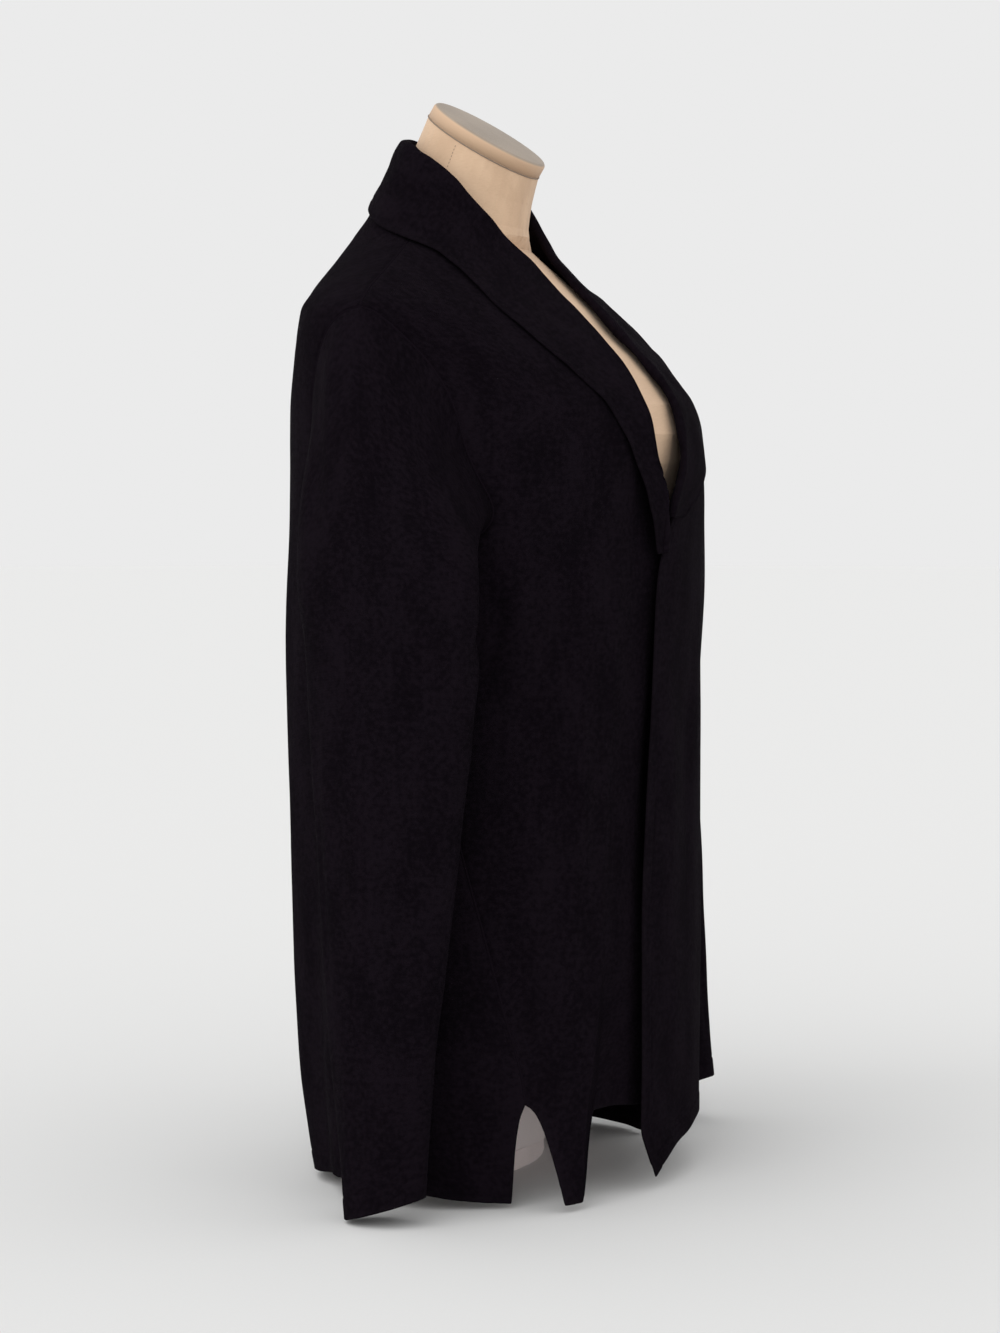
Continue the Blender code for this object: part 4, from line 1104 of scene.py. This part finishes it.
def makeSleeve(name, side, table, creases, settings, node):
    angles, heights = armholeRing(side)
    start, out = seamLine(angles, heights)
    lengths = np.linalg.norm(np.roll(start, -1, axis=0) - start, axis=1)
    turns = 2 * math.pi * np.concatenate(((0.0,), np.cumsum(lengths)[:-1])) / lengths.sum()
    top, cuff = float(table[-1, 0]), float(table[0, 0])
    low = sleeveRings(table, np.array([top]), turns)[0]
    toward = start.mean(axis=0) - start
    toward = unit(toward - np.sum(toward * out, axis=1)[:, None] * out)
    swing = sleeveShape["outLow"] - sleeveShape["less"] * smooth(0.48, 0.60, start[:, 2])
    leave = unit(toward + swing[:, None] * out)
    reach = np.linalg.norm(low - start, axis=1)[:, None]
    a, b, c, d = easing(stations((0.0, 0.06, 0.010), (0.06, 1.0, 0.030))[:, None, None])
    upper = a * start + b * np.minimum(reach, 0.12) * sleeveShape["leave"] * leave
    upper = upper + c * low + d * reach * np.array((0.0, 0.0, -1.0))
    fine = cuff + 0.022
    hanging = sleeveRings(table, stations((top, fine, 0.0044), (fine, cuff, 0.0013))[1:], turns)
    grid = eased(np.concatenate((upper, hanging)), 3)
    normals = gridNormals(grid, True)
    middle = grid[-30:].mean(axis=1, keepdims=True)
    flip = np.sum((grid[-30:] - middle) * normals[-30:]) < 0  # the normals point into the sleeve
    if flip:
        normals = -normals
    degrees = np.broadcast_to(np.degrees(turns), grid.shape[:2])
    fade = smooth(0.0, 0.02, runs(grid, 0))
    depth = creaseDepth(degrees, grid[..., 2], creases, sleeveShape["perDegree"])
    depth = (depth + sleeveShape["ripple"] * ripples(grid, settings["seed"], **sleeveRipples)) * fade
    around = np.linalg.norm(np.roll(grid, -1, axis=1) - grid, axis=-1)
    fromSeam = np.cumsum(around, axis=1) - around
    fromSeam = np.minimum(fromSeam, around.sum(axis=1, keepdims=True) - fromSeam)
    up = runs(grid, 0)
    fromCuff = up[-1:] - up
    depth = depth + sewn(fromSeam, 0.0007, 0.0018) + sewn(up) + hemmed(fromCuff, sleeveShape["hem"])
    grid = grid + depth[..., None] * normals
    around = np.linalg.norm(np.roll(grid, -1, axis=1) - grid, axis=-1)
    u = np.concatenate((np.zeros((len(grid), 1)), np.cumsum(around, axis=1)), axis=1)
    middle = grid.shape[1] // 2
    u = u - u[:, middle:middle + 1]
    v = np.broadcast_to(-runs(grid, 0)[:, middle:middle + 1], u.shape)
    uv = np.stack((u, v), axis=-1)
    marks = hill(fromCuff, hemLook["rubbed"])
    if flip:
        grid, uv, marks = grid[:, ::-1], uv[:, ::-1], marks[:, ::-1]
    piece = addCloth(name, grid, uv, knitFor(name, settings), marks, closed=True)
    register(piece, node)
    return piece


rightSleeve = makeSleeve(
    "rightSleeveKnit", -1, rightSleeveRows, rightSleeveCreases, rightSleeveCut, "sleeve_right")
leftSleeve = makeSleeve(
    "leftSleeveKnit", 1, leftSleeveRows, leftSleeveCreases, leftSleeveCut, "sleeve_left")
print("sleeves made")

# behind: station, the neck seam's angle, the roll line across, forward and up, the fall's edge as angle and height
collarBackRows = np.array([
    (0.0, 180.0, 0.0000, -0.0735, 0.7765, 180.0, 0.7315),
    (1.0, 158.0, 0.0210, -0.0705, 0.7755, 161.0, 0.7295),
    (2.0, 138.0, 0.0390, -0.0605, 0.7720, 143.0, 0.7240),
    (3.0, 118.0, 0.0530, -0.0480, 0.7660, 124.0, 0.7155),
    (4.0, 101.0, 0.0600, -0.0340, 0.7590, 105.0, 0.7060),
])
# in front: the neck seam's height, then the same
collarRightRows = (
    (0.7060, 0.0605, -0.0180, 0.7470, 85.0, 0.6965),
    (0.6990, 0.0560, -0.0042, 0.7280, 67.0, 0.6892),
    (0.6860, 0.0510, 0.0095, 0.7080, 54.5, 0.6780),
    (0.6670, 0.0430, 0.0270, 0.6870, 45.0, 0.6630),
    (0.6460, 0.0380, 0.0475, 0.6660, 39.5, 0.6450),
    (0.6260, 0.0375, 0.0690, 0.6430, 35.8, 0.6270),
    (0.6060, 0.0415, 0.0925, 0.6200, 32.8, 0.6080),
    (0.5860, 0.0475, 0.1145, 0.5960, 29.3, 0.5880),
    (0.5660, 0.0510, 0.1290, 0.5730, 26.0, 0.5680),
    (0.5460, 0.0510, 0.1355, 0.5510, 23.6, 0.5470),
    (0.5280, 0.0490, 0.1390, 0.5310, 21.5, 0.5280),
    (0.5090, 0.0450, 0.1412, 0.5110, 18.6, 0.5090),
    (0.4890, 0.0450, 0.1418, 0.4900, 16.5, 0.4890),
    (0.4700, 0.0475, 0.1415, 0.4705, 15.0, 0.4700),
)
collarLeftRows = (
    (0.7060, 0.0605, -0.0180, 0.7450, 85.0, 0.6965),
    (0.6990, 0.0555, -0.0045, 0.7190, 66.0, 0.6890),
    (0.6860, 0.0500, 0.0080, 0.7000, 54.0, 0.6780),
    (0.6670, 0.0410, 0.0175, 0.6825, 45.5, 0.6625),
    (0.6460, 0.0290, 0.0345, 0.6640, 39.5, 0.6430),
    (0.6260, 0.0165, 0.0600, 0.6420, 34.0, 0.6250),
    (0.6060, 0.0065, 0.0890, 0.6195, 29.5, 0.6070),
    (0.5860, 0.0020, 0.1165, 0.5960, 24.5, 0.5880),
    (0.5660, -0.0035, 0.1330, 0.5730, 21.5, 0.5680),
    (0.5460, -0.0090, 0.1397, 0.5510, 18.5, 0.5470),
    (0.5280, -0.0140, 0.1420, 0.5310, 14.0, 0.5280),
    (0.5120, -0.0280, 0.1420, 0.5140, 7.0, 0.5120),
    (0.4960, -0.0375, 0.1420, 0.4970, -2.0, 0.4960),
)


# roll: the fold's radius behind, how much smaller it gets from station to station in front, and the least one
collarCut = dict(
    width=0.12, length=0.90, area=0.0864, patch=40.0, edgeHem=0.006, ripple=0.0006, roll=(0.0035, 0.0003, 0.0022),
    off=0.0022,  # how far its edge lies off the body's cloth
)
collarRipples = dict(seed=45, longest=0.07, shortest=0.020, upright=1.2)


def clearance(point):  # how far outside the garment's face, and the way out
    def level(at):
        width, front, back, middle = np.moveaxis(rowAt(garmentRows, at[..., 2]), -1, 0)
        forward = -at[..., 1] - middle
        reach = np.where(forward > 0, front - middle, middle - back)
        power = 2 / cut["roundness"]
        return (np.abs(at[..., 0] / width) ** power + np.abs(forward / reach) ** power) ** (1 / power) - 1

    step = 0.0005
    slopes = [(level(point + step * axis) - level(point - step * axis)) / (2 * step) for axis in np.eye(3)]
    slope = np.stack(slopes, axis=-1)
    size = np.linalg.norm(slope, axis=-1)
    return level(point) / size, slope / size[..., None]


def keptOut(point, distance):
    for _ in range(3):
        clear, way = clearance(point)
        point = point + np.maximum(distance - clear, 0.0)[..., None] * way
    return point


def collarSection(neck, roll, edge, radius):  # up the stand, over the roll and down the fall to its edge
    rise = roll - neck
    height = np.linalg.norm(rise)
    up = rise / height
    way = clearance(neck)[1]
    out = unit(way - up * np.dot(way, up))
    stand = height - radius
    points = [neck + up * stand * share for share in np.linspace(0.0, 0.96, 12)]
    centre = neck + up * stand + out * radius
    for turn in np.radians(np.linspace(8.0, 172.0, 13)):
        points.append(centre + radius * (math.sin(turn) * up - math.cos(turn) * out))
    start = centre + radius * out
    control = start - up * 0.32 * np.linalg.norm(edge - start)
    share = np.linspace(0.05, 1.0, 24)[:, None]
    fall = (1 - share) ** 2 * start + 2 * share * (1 - share) * control + share**2 * edge
    return np.concatenate((points, keptOut(fall, 0.0022 + 0.0010 * np.clip(1 - share[:, 0], 0, 1))))


def frontNeck(side, height):  # a point on the front's upper edge, and the way off the cloth there
    surface, across, step = (rightFront, 2.0, -0.02) if side < 0 else (leftFront, 0.0, 0.02)
    here, at = np.asarray(across), np.asarray(height)
    edge = surface(here, at)
    out = faceNormal(surface, here, at, 0.004, 0.0006)
    return edge - 0.001 * out, unit(edge - surface(here + step, at))


def backNeck(side, angle):  # the same on the back's neckline
    height = cut["sideNeck"] + neckRise(angle)
    edge = garmentOut(np.asarray(side * angle), height, -0.001)
    return edge, unit(edge - garmentOut(np.asarray(side * angle), height - 0.002, -0.001))


def collarHalf(side, rows):
    table = np.array([(k, *row) for k, row in enumerate(rows)], float)
    widest, less, least = collarCut["roll"]
    sections = []
    for station in np.linspace(0.0, 4.0, 37):
        angle, *rest = rowAt(collarBackRows, station)
        sections.append((backNeck(side, float(angle)), rest, widest))
    turning = len(sections)
    for station in np.linspace(0.0, len(table) - 1.0, 7 * (len(table) - 1) + 1):
        height, *rest = rowAt(table, station)
        sections.append((frontNeck(side, float(height)), rest, max(widest - less * station, least)))
    made, neckLine = [], []
    for (neck, way), (x, forward, z, edgeAngle, edgeHeight), radius in sections:
        roll = keptOut(np.array((side * x, -forward, z)), 0.0020)
        edge = garmentOut(np.asarray(side * edgeAngle), np.asarray(edgeHeight), collarCut["off"])
        lift = unit(roll - neck)
        gap = 0.0015 + 0.0013 * (1 - float(np.dot(lift, way)))
        made.append(collarSection(neck + gap * way + 0.0002 * lift, roll, edge, radius))
        neckLine.append(neck + 0.5 * gap * way)
    shoulder = [made[turning - 1] + (made[turning] - made[turning - 1]) * k / 6 for k in range(1, 6)]
    return np.array(made[:turning] + shoulder + made[turning:]), np.array(neckLine)


def makeCollar():
    right, rightNeck = collarHalf(-1, collarRightRows)
    left, leftNeck = collarHalf(1, collarLeftRows)
    grid = eased(np.concatenate((right[::-1], left[1:])), 10)[:, ::-1]
    normals = gridNormals(grid)
    across = runs(grid, 1)
    fromEdge, fromNeck = across, across[:, -1:] - across
    width = across[:, -1:]
    free = smooth(0.0, 0.012, fromNeck) * np.clip(width / 0.04, 0.2, 1)
    depth = collarCut["ripple"] * free * np.clip(ripples(grid, **collarRipples), -1.2, 2.0)
    depth = depth + hemmed(fromEdge, np.minimum(collarCut["edgeHem"], 0.3 * width)) * np.clip(width / 0.03, 0, 1)
    grid = grid + (0.001 + depth)[..., None] * normals
    marks = hill(fromEdge, 0.0022)
    along = np.broadcast_to(runs(grid, 0)[:, 24:25], across.shape)
    uv = np.stack((-across, along), axis=-1)
    piece = addCloth("collarKnit", grid, uv, knitFor("collarKnit", collarCut), marks)
    register(piece, "collar")
    return piece, np.concatenate((rightNeck[::-1], leftNeck[1:]))


collar, neckLine = makeCollar()
print("collar made")

sewing = dict(length=0.0024, spacing=0.0024, sunk=0.0011, slant=0.55, roll=(0.0013, 0.0016))
collarStitch = dict(length=0.0040, spacing=0.0028, sunk=0.0006, slant=0.45, roll=(0.0016, 0.0004))
knitThread = threadMaterial("knitThread", knitLook["light"], knitLook["dark"], 0.9, 0.010)


def sewAll():
    sides, shoulders, armholes = [], [], []
    for side in (-1, 1):
        heights = np.linspace(cut["ventTop"], cut["underarm"] - 0.001, 120)
        sides.append(seamLine(side * rowAt(sideSeam, heights)[..., 0], heights))
        heights = np.linspace(cut["shoulderTip"] + 0.001, cut["sideNeck"] - 0.001, 60)
        shoulders.append(seamLine(np.full(60, 90.0 * side), heights))
        angles, heights = armholeRing(side)
        armholes.append(seamLine(np.append(angles, angles[0]), np.append(heights, heights[0])))
    neckSeamLine = [(neckLine, clearance(neckLine)[1])]
    return (
        sewStitches("bodySeamStitches", sides + shoulders, knitThread, "back_knit", **sewing),
        sewStitches("rightArmholeStitches", armholes[:1], knitThread, "right_sleeve_knit", **sewing),
        sewStitches("leftArmholeStitches", armholes[1:], knitThread, "left_sleeve_knit", **sewing),
        sewStitches("collarSeamStitches", neckSeamLine, knitThread, "collar_knit", **collarStitch),
    )


bodySewing, rightSewing, leftSewing, collarSewing = sewAll()
print("seams sewn")
